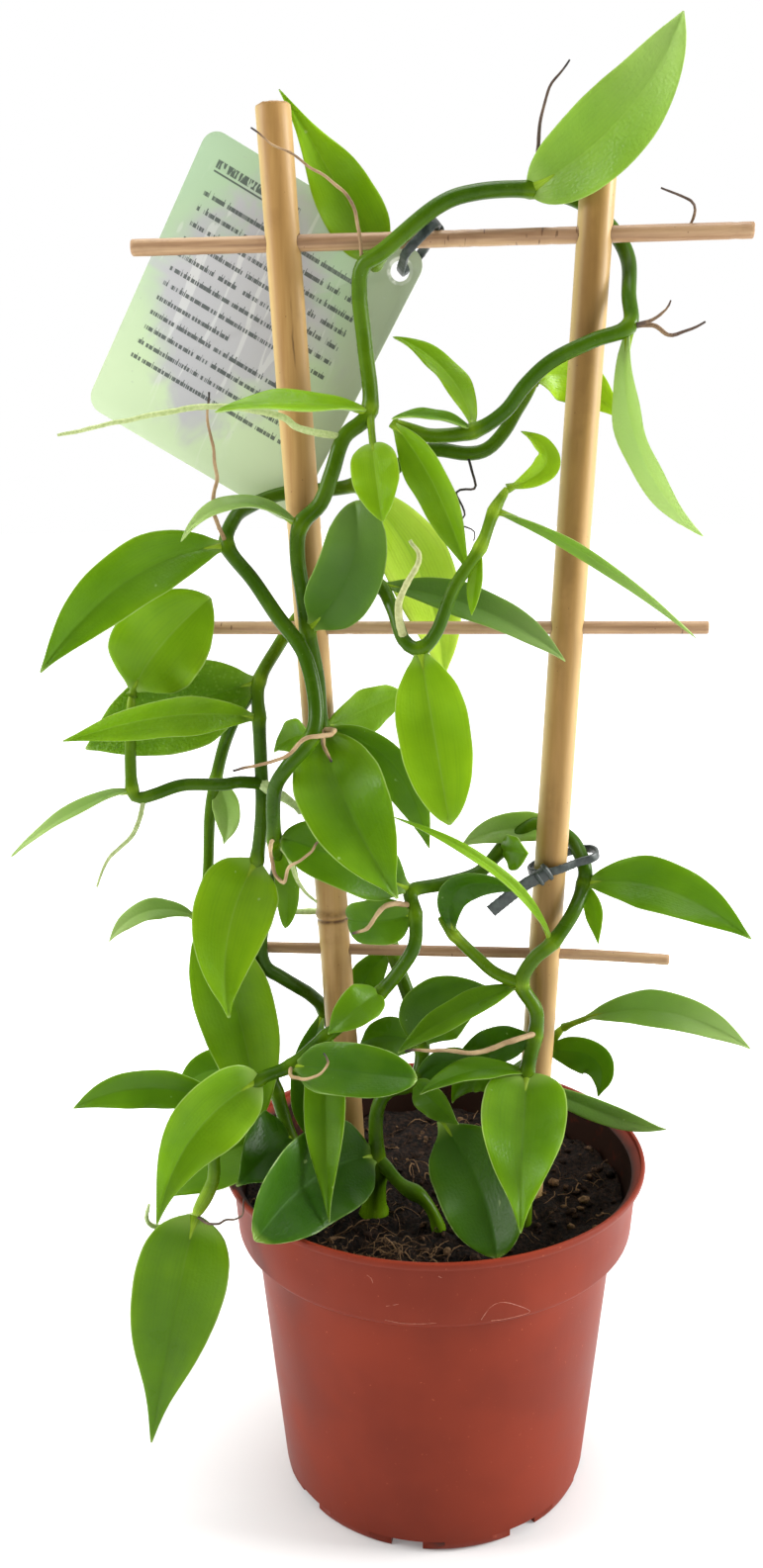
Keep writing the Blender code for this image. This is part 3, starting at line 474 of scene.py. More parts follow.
class Recipe:
    """A node material or surround under construction, on Object coordinates unless told otherwise."""

    def __init__(self, name: str, world: bool = False) -> None:
        """Starts a material with a Principled shader, or a surround with a plain background.

        Args:
            name: Its name.
            world: Whether it is a surround.
        """
        self.made = (bpy.data.worlds if world else bpy.data.materials).new(name)
        self.made.use_nodes = True
        self.tree = self.made.node_tree
        self.shader = self.tree.nodes["Background" if world else "Principled BSDF"]
        self.place = self.add("ShaderNodeTexCoord", output="Object")
        self.own = self.place.output("UV")
        self.colour: Signal | Colour = (0.5, 0.5, 0.5)

    def add(
        self, kind: str, inputs: dict[str | int, object] | None = None, output: int | str = 0,
        **settings: object,
    ) -> Signal:
        """Adds a node, sets it up and links or fills its inputs.

        Args:
            kind: The node's type.
            inputs: Signals to link from, or values, by input name or number.
            output: The output to hand over.
            **settings: The node's own properties.

        Returns:
            That output of the new node.
        """
        node = self.tree.nodes.new(kind)
        for key, value in settings.items():
            setattr(node, key, value)
        for key, value in (inputs or {}).items():
            self.feed(node.inputs[key], value)
        return Signal(self, node.outputs[output])

    def feed(self, socket: bpy.types.NodeSocket, value: object) -> None:
        """Links a signal to an input, or writes a value or an opaque colour into it."""
        if isinstance(value, Signal):
            self.tree.links.new(value.socket, socket)
        else:
            socket.default_value = (*value, 1.0) if socket.type == "RGBA" else value

    def stretched(self, scale: Point, where: Signal | None = None, turn: Point = (0, 0, 0)) -> Signal:
        """Coordinates stretched by a scale along each axis, after a turn in radians."""
        inputs = {"Vector": where or self.place, "Scale": scale, "Rotation": turn}
        return self.add("ShaderNodeMapping", inputs)

    def noise(
        self, scale: float, detail: float = 2.0, rough: float = 0.5, where: Signal | None = None,
        warp: float = 0.0,
    ) -> Signal:
        """Soft random values from 0 to 1."""
        inputs = {"Scale": scale, "Detail": detail, "Roughness": rough, "Distortion": warp}
        return self.add("ShaderNodeTexNoise", {"Vector": where or self.place, **inputs})

    def streaks(
        self, scale: Point, detail: float, rough: float = 0.5, where: Signal | None = None, warp: float = 0.0,
        turn: Point = (0, 0, 0),
    ) -> Signal:
        """Soft random values drawn out by a scale along each axis."""
        return self.noise(1, detail, rough, self.stretched(scale, where, turn), warp)

    def cells(self, scale: float, feature: str = "F1") -> Signal:
        """Distance to the nearest of many random spots."""
        inputs = {"Vector": self.place, "Scale": scale}
        return self.add("ShaderNodeTexVoronoi", inputs, "Distance", feature=feature)

    def axes(self, where: Signal) -> list[Signal]:
        """The three numbers of a place."""
        split = self.add("ShaderNodeSeparateXYZ", {0: where})
        return [split.output(axis) for axis in range(3)]

    def ramp(self, factor: Signal, *stops: Stop) -> Signal:
        """A colour ramp over the factor."""
        blend = self.add("ShaderNodeValToRGB", {0: factor})
        elements = blend.socket.node.color_ramp.elements
        elements.remove(elements[1])
        elements[0].position, elements[0].color = stops[0][0], (*stops[0][1], 1.0)
        for position, colour in stops[1:]:
            elements.new(position).color = (*colour, 1.0)
        return blend

    def math(self, operation: str, a: Signal | float, b: Signal | float = 0.0) -> Signal:
        """One sum of two numbers."""
        return self.add("ShaderNodeMath", {0: a, 1: b}, operation=operation)

    def mix(self, factor: Signal | float, a: Signal | Colour, b: Signal | Colour) -> Signal:
        """Mixes two colours."""
        return self.add("ShaderNodeMix", {0: factor, 6: a, 7: b}, 2, data_type="RGBA")

    def paint(self, factor: Signal | float, colour: Signal | Colour) -> None:
        """Lays a colour over what is there."""
        self.colour = self.mix(factor, self.colour, colour)

    def attribute(self, name: str) -> Signal:
        """A number kept at the mesh's vertices."""
        return self.add("ShaderNodeAttribute", output="Fac", attribute_name=name)

    def bump(self, height: Signal, distance: float, strength: float, over: Signal | None = None) -> Signal:
        """A normal from a height, its distance in mm, on top of another one if given."""
        inputs = {"Height": height, "Distance": distance * MM, "Strength": strength}
        return self.add("ShaderNodeBump", {**inputs, "Normal": over} if over else inputs)

    def finish(self, **values: object) -> bpy.types.Material | bpy.types.World:
        """Fills the shader's inputs, an underscore standing for a space, and hands over the result."""
        for key, value in values.items():
            self.feed(self.shader.inputs[key.replace("_", " ")], value)
        return self.made


@dataclass(frozen=True)
class PotPlastic:
    """Thin moulded plastic in a terracotta colour, with a soft sheen, faint streaks, dust and painted shade
    on the inner wall.
    """

    deep: Colour = (0.151, 0.0175, 0.0058)
    light: Colour = (0.198, 0.0255, 0.0095)
    worn: Colour = (0.50, 0.14, 0.07)
    inner_shade: Colour = (0.020, 0.009, 0.006)

    def make(self) -> bpy.types.Material:
        """Makes the material."""
        r = Recipe("terracotta_plastic")
        cloud, streak = r.noise(28, 3, 0.55), r.streaks((160, 160, 9), 3, 0.6)
        r.colour = r.ramp(cloud.span(0.3, 0.7), (0.0, self.deep), (1.0, self.light))
        r.paint(streak.span(0.45, 0.8, 0.0, 0.25), self.light)
        r.paint(r.noise(900, 2, 0.7).span(0.70, 0.78, 0.0, 0.5), self.worn)
        # painted shade: the inner wall, which the tone marks, is darkened nearly to black in broken patches
        r.paint(r.attribute("tone") * r.noise(260, 4, 0.6).span(0.25, 0.45, 0.72, 1.0), self.inner_shade)
        return r.finish(
            Base_Color=r.colour, Roughness=cloud.span(0.3, 0.7, 0.40, 0.52), Specular_IOR_Level=0.11,
            Normal=r.bump(streak, 0.10, 0.35, r.bump(r.noise(2600), 0.02, 0.5)),
        )


@dataclass(frozen=True)
class ScuffPlastic:
    """The pot's plastic where it is scratched pale."""

    deep: Colour = (0.26, 0.052, 0.026)
    light: Colour = (0.48, 0.19, 0.12)

    def make(self) -> bpy.types.Material:
        """Makes the material."""
        r = Recipe("plastic_scuff")
        return r.finish(Base_Color=r.ramp(r.noise(900), (0.3, self.deep), (0.7, self.light)), Roughness=0.4)


@dataclass(frozen=True)
class PottingSoil:
    """Dark peat with brown crumbs and straw-coloured fibres."""

    dark: Colour = (0.003, 0.002, 0.0015)
    brown: Colour = (0.026, 0.013, 0.007)
    straw: Colour = (0.17, 0.10, 0.05)

    def make(self) -> bpy.types.Material:
        """Makes the material."""
        r = Recipe("potting_soil")
        grain = r.noise(700, 5, 0.65)
        tint = r.attribute("tone") * 0.55 + (grain - 0.42)
        return r.finish(
            Base_Color=r.ramp(tint, (0.08, self.dark), (0.36, self.brown), (0.66, self.straw)),
            Roughness=0.86, Specular_IOR_Level=0.12,
            Normal=r.bump(r.cells(900), 0.5, 0.8, r.bump(grain, 0.8, 0.9)),
        )


@dataclass(frozen=True)
class Bamboo:
    """Dried bamboo or rattan with long grain and painted side highlights; its crack and its axis are x = a +
    b z in metres.
    """

    name: str
    grain: Point
    pale: Colour
    tan: Colour
    brown: Colour
    slit: Colour = (0.085, 0.040, 0.020)
    slits: float = 0.5
    crack: Pair | None = None
    axis: Pair | None = None
    right_side_highlight: Colour = (0.62, 0.43, 0.19)
    straw: Colour = (0.66, 0.53, 0.23)
    right_highlight_share: float = 0.50
    nicked: bool = False

    def along(self, r: Recipe, share: float, detail: float, rough: float, warp: float = 0.0) -> Signal:
        """Streaks along the grain, drawn at a share of its scale."""
        return r.streaks(tuple(share * g for g in self.grain), detail, rough, warp=warp)

    def cracks(self, r: Recipe) -> Signal:
        """A thin broken crack up the viewer's side of a cane."""
        x, y, z = r.axes(r.place)
        wander = (r.streaks((0, 0, 90), 3, 0.6) - 0.5) * 0.0016
        off = abs(x - (z * self.crack[1] + (wander + self.crack[0])))
        broken = r.streaks((0, 0, 42), 2, 0.6).span(0.54, 0.62)
        return off.span(0.00008, 0.00030, 1.0, 0.0) * broken * y.span(-0.0005, 0.0, 0.85, 0.0)

    def paint_side_light(self, r: Recipe) -> None:
        """Paints highlights where side light falls: paler on the right side of a cane, yellower on its left
        edge.
        """
        x, _, z = r.axes(r.place)
        off = x - (z * self.axis[1] + self.axis[0])
        # painted highlights: a pale band on the cane's right side and a yellow one on its left edge, where
        # the side lights fall
        r.paint(off.span(0.0006, 0.0042, 0.0, self.right_highlight_share), self.right_side_highlight)
        r.paint(off.span(-0.0043, -0.0018, 0.50, 0.0), self.straw)

    def make(self) -> bpy.types.Material:
        """Makes the material."""
        r = Recipe(self.name)
        long, fine = self.along(r, 1.0, 4, 0.6, 0.4), self.along(r, 3.2, 3, 0.6)
        r.colour = r.ramp(long, (0.28, self.brown), (0.50, self.tan), (0.72, self.pale))
        r.paint(fine.span(0.52, 0.72, 0.0, 0.28), self.brown)
        r.paint(r.noise(70, 4, 0.65).span(0.52, 0.70, 0.0, 0.40), self.brown)
        if self.axis:
            self.paint_side_light(r)
        marks = self.along(r, 0.62, 2, 0.5, 0.8).span(0.70, 0.735, 0.0, self.slits)
        r.paint(marks, self.slit)
        r.paint(r.cells(330).span(0.035, 0.06, 0.7, 0.0), self.slit)
        if self.crack:
            r.paint(self.cracks(r), self.slit)
        if self.nicked:
            nicks = r.streaks((900, 90, 300), 1).span(0.66, 0.72)
            r.paint(nicks * r.noise(26, 1).span(0.46, 0.54, 0.0, 0.7), self.slit)
        r.paint(r.attribute("tone") * r.noise(420, 3).span(0.35, 0.6, 0.5, 1.0), self.slit)
        return r.finish(
            Base_Color=r.colour, Roughness=long.span(0.3, 0.7, 0.50, 0.36), Specular_IOR_Level=0.24,
            Normal=r.bump(fine - marks * 0.8, 0.10, 0.6, r.bump(long, 0.15, 0.4)),
        )


@dataclass(frozen=True)
class CardPrint:
    """Coated card: a pale green wash, a soft grey cloud, and plain broken rules under a short heading."""

    green: Colour = (0.37, 0.52, 0.33)
    pale: Colour = (0.52, 0.65, 0.40)
    cloud: Colour = (0.43, 0.42, 0.46)
    glint: Colour = (0.72, 0.74, 0.70)
    shade: Colour = (0.30, 0.345, 0.235)
    ink: Colour = (0.040, 0.055, 0.050)
    bare: Colour = (0.78, 0.80, 0.74)
    speck: Colour = (0.35, 0.42, 0.33)
    rows: float = 19.0
    left: Pair = (0.085, 0.090)
    hole: Pair = (0.923, 0.920)
    size: Pair = (60.0, 71.0)

    def inked(self, r: Recipe, u: Signal, v: Signal) -> Signal:
        """Where the ink stands.

        Args:
            r: The card's recipe.
            u: Share of the card's width.
            v: Share of its height.

        Returns:
            1 on the heading and the broken rules, 0 elsewhere.
        """
        level = v * self.rows
        row, number = r.math("FRACT", level), r.math("FLOOR", level)
        words = r.add("ShaderNodeCombineXYZ", {0: u * 23.0, 1: number * 7.3})
        dash = r.noise(1, 1, 0.5, words).span(0.36, 0.37)
        letters = r.streaks((6.5, 2.5, 1), 1, 0.6, words).span(0.42, 0.48, 0.15, 1.0)
        letters = r.math("MAXIMUM", letters, v.span(0.785, 0.79) * 0.75)
        stalks = r.streaks((4.8, 3.7, 1), 1, 0.6, words).span(0.58, 0.62)
        low, tall = row.between(0.24, 0.27, 0.50, 0.54), row.between(0.46, 0.50, 0.68, 0.72)
        line = r.math("MAXIMUM", low, tall * stalks)
        order = r.add("ShaderNodeCombineXYZ", {0: number * 3.7})
        right = r.noise(1, 1, 0.5, order).span(0.40, 0.41, 0.42, 0.84)
        inside = u.span(*self.left) * (u - right).span(0.0, 0.005, 1.0, 0.0)
        inside = inside * v.between(0.210, 0.215, 0.840, 0.845)
        strokes = r.streaks((110, 26, 1), 1, 0.6, r.own).span(0.40, 0.47, 0.1, 1.0)
        title, rule = v.between(0.895, 0.898, 0.922, 0.926) * strokes, v.between(0.882, 0.884, 0.888, 0.890)
        heading = u.between(*self.left, 0.460, 0.465) * r.math("MAXIMUM", title, rule)
        return r.math("MAXIMUM", line * dash * (letters * inside), heading)

    def make(self) -> bpy.types.Material:
        """Makes the material."""
        r = Recipe("printed_card")
        u, v, _ = r.axes(r.own)
        wash = v + r.noise(3, 2, 0.5, r.own) * 0.5
        r.colour = r.mix(wash.span(0.35, 1.15), self.pale, self.green)
        patch = abs(u - 0.40) + abs(v - 0.56) * 0.8 + r.noise(4.5, 3, 0.6, r.own, 0.8) * 0.55
        r.paint(patch.span(0.56, 0.78, 0.9, 0.0), self.cloud)
        streak = r.streaks((16, 3, 1), 2, 0.5, r.own, 1.2, (0, 0, 0.6))
        r.paint(streak.span(0.60, 0.63, 0.0, 0.35) * patch.span(0.6, 0.9, 1.0, 0.0), self.glint)
        r.paint((u + v * 0.25).span(0.86, 1.10, 0.0, 0.85), self.shade)
        r.paint(self.inked(r, u, v) * 0.88, self.ink)
        hole = (self.hole[0] * self.size[0], self.hole[1] * self.size[1], 0.0)
        flat = r.stretched((*self.size, 0.0), r.own)
        away = r.add("ShaderNodeVectorMath", {0: flat, 1: hole}, "Value", operation="DISTANCE")
        r.paint(away.span(2.9, 3.4, 1.0, 0.0) * r.noise(350, 3).span(0.40, 0.55, 0.2, 0.9), self.bare)
        r.paint(r.noise(900, 1).span(0.76, 0.80, 0.0, 0.4), self.speck)
        crease = r.noise(14, 3)
        return r.finish(
            Base_Color=r.colour, Roughness=crease.span(0.3, 0.7, 0.30, 0.42), Coat_Weight=0.35,
            Coat_Roughness=0.22, Normal=r.bump(crease, 0.5, 0.25),
        )


@dataclass(frozen=True)
class TiePlastic:
    """Dark green-black plastic strap."""

    dark: Colour = (0.012, 0.020, 0.018)
    dusty: Colour = (0.060, 0.078, 0.072)

    def make(self) -> bpy.types.Material:
        """Makes the material."""
        r = Recipe("tie_plastic")
        scuff = r.noise(500, 4, 0.65)
        return r.finish(
            Base_Color=r.ramp(scuff, (0.42, self.dark), (0.75, self.dusty)),
            Roughness=scuff.span(0.3, 0.7, 0.34, 0.55), Normal=r.bump(r.noise(900, 1), 0.06, 0.6),
        )


@dataclass(frozen=True)
class LeafSkin:
    """Fleshy orchid leaf: waxy upper face, faint long veins, pale rim and base, paler underside, and a
    painted sheen towards the tips.
    """

    greens: tuple[Stop, ...] = (
        (0.0, (0.018, 0.066, 0.003)), (0.20, (0.045, 0.130, 0.003)), (0.40, (0.115, 0.250, 0.003)),
        (0.60, (0.225, 0.410, 0.006)), (0.80, (0.420, 0.650, 0.018)), (1.0, (0.640, 0.800, 0.110)),
    )
    crease: tuple[Stop, ...] = ((0.28, (0.040, 0.125, 0.008)), (0.68, (0.40, 0.60, 0.09)))
    rim: tuple[Stop, ...] = ((0.15, (0.15, 0.28, 0.05)), (0.45, (0.40, 0.55, 0.13)))
    vein: Colour = (0.03, 0.10, 0.006)
    spot: Colour = (0.26, 0.42, 0.05)
    fleck: Colour = (0.42, 0.55, 0.20)
    base: Colour = (0.30, 0.46, 0.09)
    tip: Colour = (0.36, 0.52, 0.08)
    underside: Colour = (0.38, 0.52, 0.19)
    painted_sheen: Colour = (0.58, 0.72, 0.30)
    glow: Colour = (0.42, 0.72, 0.02)
    through: float = 0.34
    veins: float = 132.0

    def make(self) -> bpy.types.Material:
        """Makes the material."""
        r = Recipe("leaf_skin")
        u, v, _ = r.axes(r.own)
        cloud, side = r.noise(60, 3, 0.55), abs(u - 0.5)
        under, speck = r.attribute("under"), r.attribute("speck")
        # the tone sets the green: partly the blade's age, partly painted light and shade for how lit each
        # blade stands, up to a painted back-lit glow on the palest
        tone = r.attribute("tone") * 0.79 + (cloud - 0.5) * 0.30 + side.span(0.30, 0.5) * 0.08
        r.colour = r.ramp(tone, *self.greens)
        veins = r.math("SINE", u * self.veins)
        broken = r.streaks((9, 2.2, 1), 2, 0.5, r.own)
        r.paint((veins + 1.0) * broken.span(0.35, 0.65, 0.0, 0.07), self.vein)
        r.paint(side.span(0.004, 0.018, 1.0, 0.0) * 0.40, r.ramp(tone, *self.crease))
        r.paint(r.cells(700).span(0.18, 0.34, 1.0, 0.0) * (speck * 0.45), self.spot)
        r.paint(r.noise(340, 2, 0.4).span(0.755, 0.79, 0.0, 0.55), self.fleck)
        r.paint(side.span(0.477, 0.495) * 0.72, r.ramp(tone, *self.rim))
        r.paint(v.span(0.02, 0.16, 0.85, 0.0), self.base)
        r.paint(v.span(0.93, 1.0, 0.0, 0.45), self.tip)
        # on the top face the pale share lays underside colour, standing partly for a painted sheen; a painted
        # sheen also grows towards the tip, on pale top faces and on every underside
        r.paint(r.math("MINIMUM", under * 0.50, 0.92), self.underside)
        r.paint(r.math("MINIMUM", under, 0.4) * v.span(0.38, 0.92, 0.0, 1.1), self.painted_sheen)
        peel = (r.cells(1300, "SMOOTH_F1") + r.noise(2600, 2, 0.6) * 0.7) * (speck * 4.0 + 1.0)
        normal = r.bump(r.noise(95), 0.6, 0.5, r.bump(veins * 0.08 + peel, 0.08, 0.75))
        matt = cloud.span(0.3, 0.7, 0.27, 0.38) + side.span(0.0, 0.05, 1.0, 0.0) * 0.3
        glow = r.mix(0.4, r.colour, self.glow)
        soft = r.add("ShaderNodeBsdfTranslucent", {"Color": glow, "Normal": normal})
        waxy = Signal(r, r.shader.outputs[0])
        both = r.add("ShaderNodeMixShader", {0: self.through, 1: waxy, 2: soft})
        r.feed(r.tree.nodes["Material Output"].inputs[0], both)
        return r.finish(Base_Color=r.colour, Roughness=matt, Normal=normal, Specular_IOR_Level=0.18)


@dataclass(frozen=True)
class StemSkin:
    """Smooth green stem: paler at the nodes and at young ends, with short pale lenticels."""

    greens: tuple[Stop, ...] = (
        (0.0, (0.015, 0.044, 0.001)), (0.30, (0.030, 0.078, 0.001)), (0.55, (0.080, 0.160, 0.002)),
        (0.80, (0.225, 0.350, 0.018)), (1.0, (0.430, 0.560, 0.120)),
    )
    spot: Colour = (0.20, 0.34, 0.09)
    grain: Colour = (0.035, 0.10, 0.005)

    def make(self) -> bpy.types.Material:
        """Makes the material."""
        r = Recipe("stem_skin")
        cloud, long = r.noise(140, 3, 0.55), r.streaks((30, 2.0, 1), 3, 0.6, r.own)
        r.colour = r.ramp(r.attribute("tone") + (cloud - 0.5) * 0.30, *self.greens)
        r.paint(r.cells(420).span(0.05, 0.09, 0.30, 0.0), self.spot)
        r.paint(long.span(0.45, 0.75, 0.0, 0.35), self.grain)
        return r.finish(
            Base_Color=r.colour, Roughness=cloud.span(0.3, 0.7, 0.22, 0.34), Specular_IOR_Level=0.11,
            Normal=r.bump(long, 0.12, 0.45, r.bump(cloud, 0.2, 0.3)),
        )


@dataclass(frozen=True)
class RootSkin:
    """Air roots: papery tan drying to black at the tip, or still green and velvety."""

    dried: tuple[Stop, ...] = (
        (0.0, (0.012, 0.008, 0.007)), (0.30, (0.075, 0.040, 0.022)), (0.62, (0.27, 0.165, 0.075)),
        (1.0, (0.52, 0.38, 0.20)),
    )
    fresh: tuple[Stop, ...] = ((0.3, (0.25, 0.36, 0.10)), (0.7, (0.48, 0.58, 0.27)))

    def make(self) -> bpy.types.Material:
        """Makes the material."""
        r = Recipe("root_skin")
        grain = r.noise(1200, 4, 0.65)
        dry = r.ramp(r.attribute("tone") + (grain - 0.5) * 0.35, *self.dried)
        colour = r.mix(r.attribute("under"), dry, r.ramp(grain, *self.fresh))
        return r.finish(Base_Color=colour, Roughness=0.62, Normal=r.bump(grain, 0.14, 0.8))


@dataclass
class Pot:
    """Nursery pot: thin lip, stacking band, tapered wall, foot ring with drain notches."""

    height: float = 103.0
    lip: float = 60.0
    band: float = 57.6
    band_low: float = 82.0
    body: float = 51.8
    foot: float = 45.6
    foot_top: float = 3.4
    wall: float = 1.3
    floor: float = 3.6
    pad: float = 17.0
    notches: int = 8
    notch_turn: float = 38.8
    notch: Point = (16.5, 9.0, 6.4)
    recess: Point = (2.0, 22.0, 7.6)
    drain: Pair = (29.0, 2.6)
    sharp: float = 32.0
    steps: int = 144
    scuffs: Sequence[Sequence[Pair]] = (
        (
            (-74.2, 84.1), (-71.7, 87.7), (-68.8, 88.6), (-64.9, 86.9), (-60.7, 83.6), (-67.3, 83.2),
            (-71.6, 83.4),
        ),
        ((-99.0, 83.7), (-94.9, 83.3), (-89.8, 83.5), (-85.7, 83.9)),
        ((-98.6, 88.0), (-95.3, 89.1)),
        ((-103.4, 96.6), (-102.3, 95.8), (-101.9, 94.4)),
        ((-85.2, 98.1), (-84.4, 97.6)),
    )

    def profile(self) -> list[Pair]:
        """The wall's section in mm: the outer side from the lip down, the underside, then the inside."""
        top, low, neck = self.height, self.height - 2.2, self.band_low
        lip, band, body, foot, pad = self.lip, self.band, self.body, self.foot, self.pad
        inner, deck, start = foot - 5.5, self.floor + self.wall, self.foot_top
        taper = [(foot + (body - foot) * k / 8, start + (neck - 5.0) * k / 8) for k in range(7, 0, -1)]
        return [
            (lip - self.wall, top - 0.35), (lip - self.wall + 0.15, top - 0.08), (lip - 0.85, top),
            (lip - 0.45, top - 0.06), (lip - 0.12, top - 0.35), (lip, top - 0.8), (lip - 0.05, top - 1.4),
            (lip - 0.35, low + 0.15), (lip - 0.8, low), (band + 0.5, low - 0.15), (band + 0.1, low - 0.5),
            (band, low - 1.1), (band - 0.35, (low + neck) / 2), (band - 0.85, neck + 1.4),
            (band - 1.05, neck + 0.7), (band - 1.5, neck + 0.15), (band - 2.2, neck - 0.1),
            (body + 0.7, neck - 0.5), (body + 0.15, neck - 0.9), (body, neck - 1.6), *taper,
            (foot, start), (foot - 0.25, 1.9), (foot - 0.75, 0.8), (foot - 1.35, 0.2), (foot - 2.0, 0.0),
            (inner + 0.3, 0.0), (inner, 0.3), (inner - 0.8, self.floor), (pad + 0.8, self.floor),
            (pad, 0.3), (pad - 0.3, 0.0), (0.0, 0.0), (0.0, self.wall), (pad - 1.0, self.wall), (pad, deck),
            (foot - self.wall, deck), (body - self.wall, neck - 1.0), (band - self.wall - 1.4, neck + 1.4),
            (band - self.wall, low - 1.0), (lip - self.wall, low + 0.8), (lip - self.wall, top - 0.35),
        ]

    def radius(self, z: float) -> float:
        """Outer radius in mm at a height in mm."""
        if z > self.band_low + 1.0:
            share = (z - self.band_low - 1.4) / (self.height - 4.7 - self.band_low)
            return self.band - 0.85 + 0.85 * within(share)
        return self.foot + (self.body - self.foot) * (z - self.foot_top) / (self.band_low - 5.0)

    def marks(self) -> Form:
        """Thin raised scratches on the wall, each given by angles in degrees and heights in mm."""
        form = Form()
        for scuff in self.scuffs:
            path, _ = smooth_route([(*polar(self.radius(z), math.radians(a)), z) for a, z in scuff], 0.8)
            form.tube(path, [0.075 + 0.06 * noise.noise(p * 0.9) for p in path], 6)
        return form

    def build(self) -> list[bpy.types.Object]:
        """Makes the pot and the pale scuffs on its band."""
        form = Form()
        form.lathe(self.profile(), self.steps)
        # tone 1 marks the inner wall, which the finish darkens with painted shade
        for vertex in form.bm.verts:
            across, z = math.hypot(vertex.co.x, vertex.co.y) / MM, vertex.co.z / MM
            vertex[form.tone] = 1.0 if z > self.floor and across < self.radius(z) - 0.8 else 0.0
        pot = form.finish("pot_shell", PotPlastic().make(), Slot.POT, self.sharp)
        openings, recesses = Form(), Form()
        for index in range(self.notches):
            spin = turned(self.notch_turn + index * 360.0 / self.notches, "Z")
            openings.block(self.notch, spin @ Matrix.Translation((self.foot, 0.0, 0.0)), 0.4)
            openings.rod(self.drain[1], 6.0, spin @ Matrix.Translation((self.drain[0], 0.0, self.floor)), 24)
            recesses.block(self.recess, spin @ Matrix.Translation((self.foot - 0.5, 0.0, 0.0)), 0.3)
        cut_away(pot, openings, self.sharp)
        cut_away(pot, recesses, self.sharp)
        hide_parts("pot")
        return [pot, self.marks().finish("pot_scuffs", ScuffPlastic().make(), Slot.POT, 40.0)]


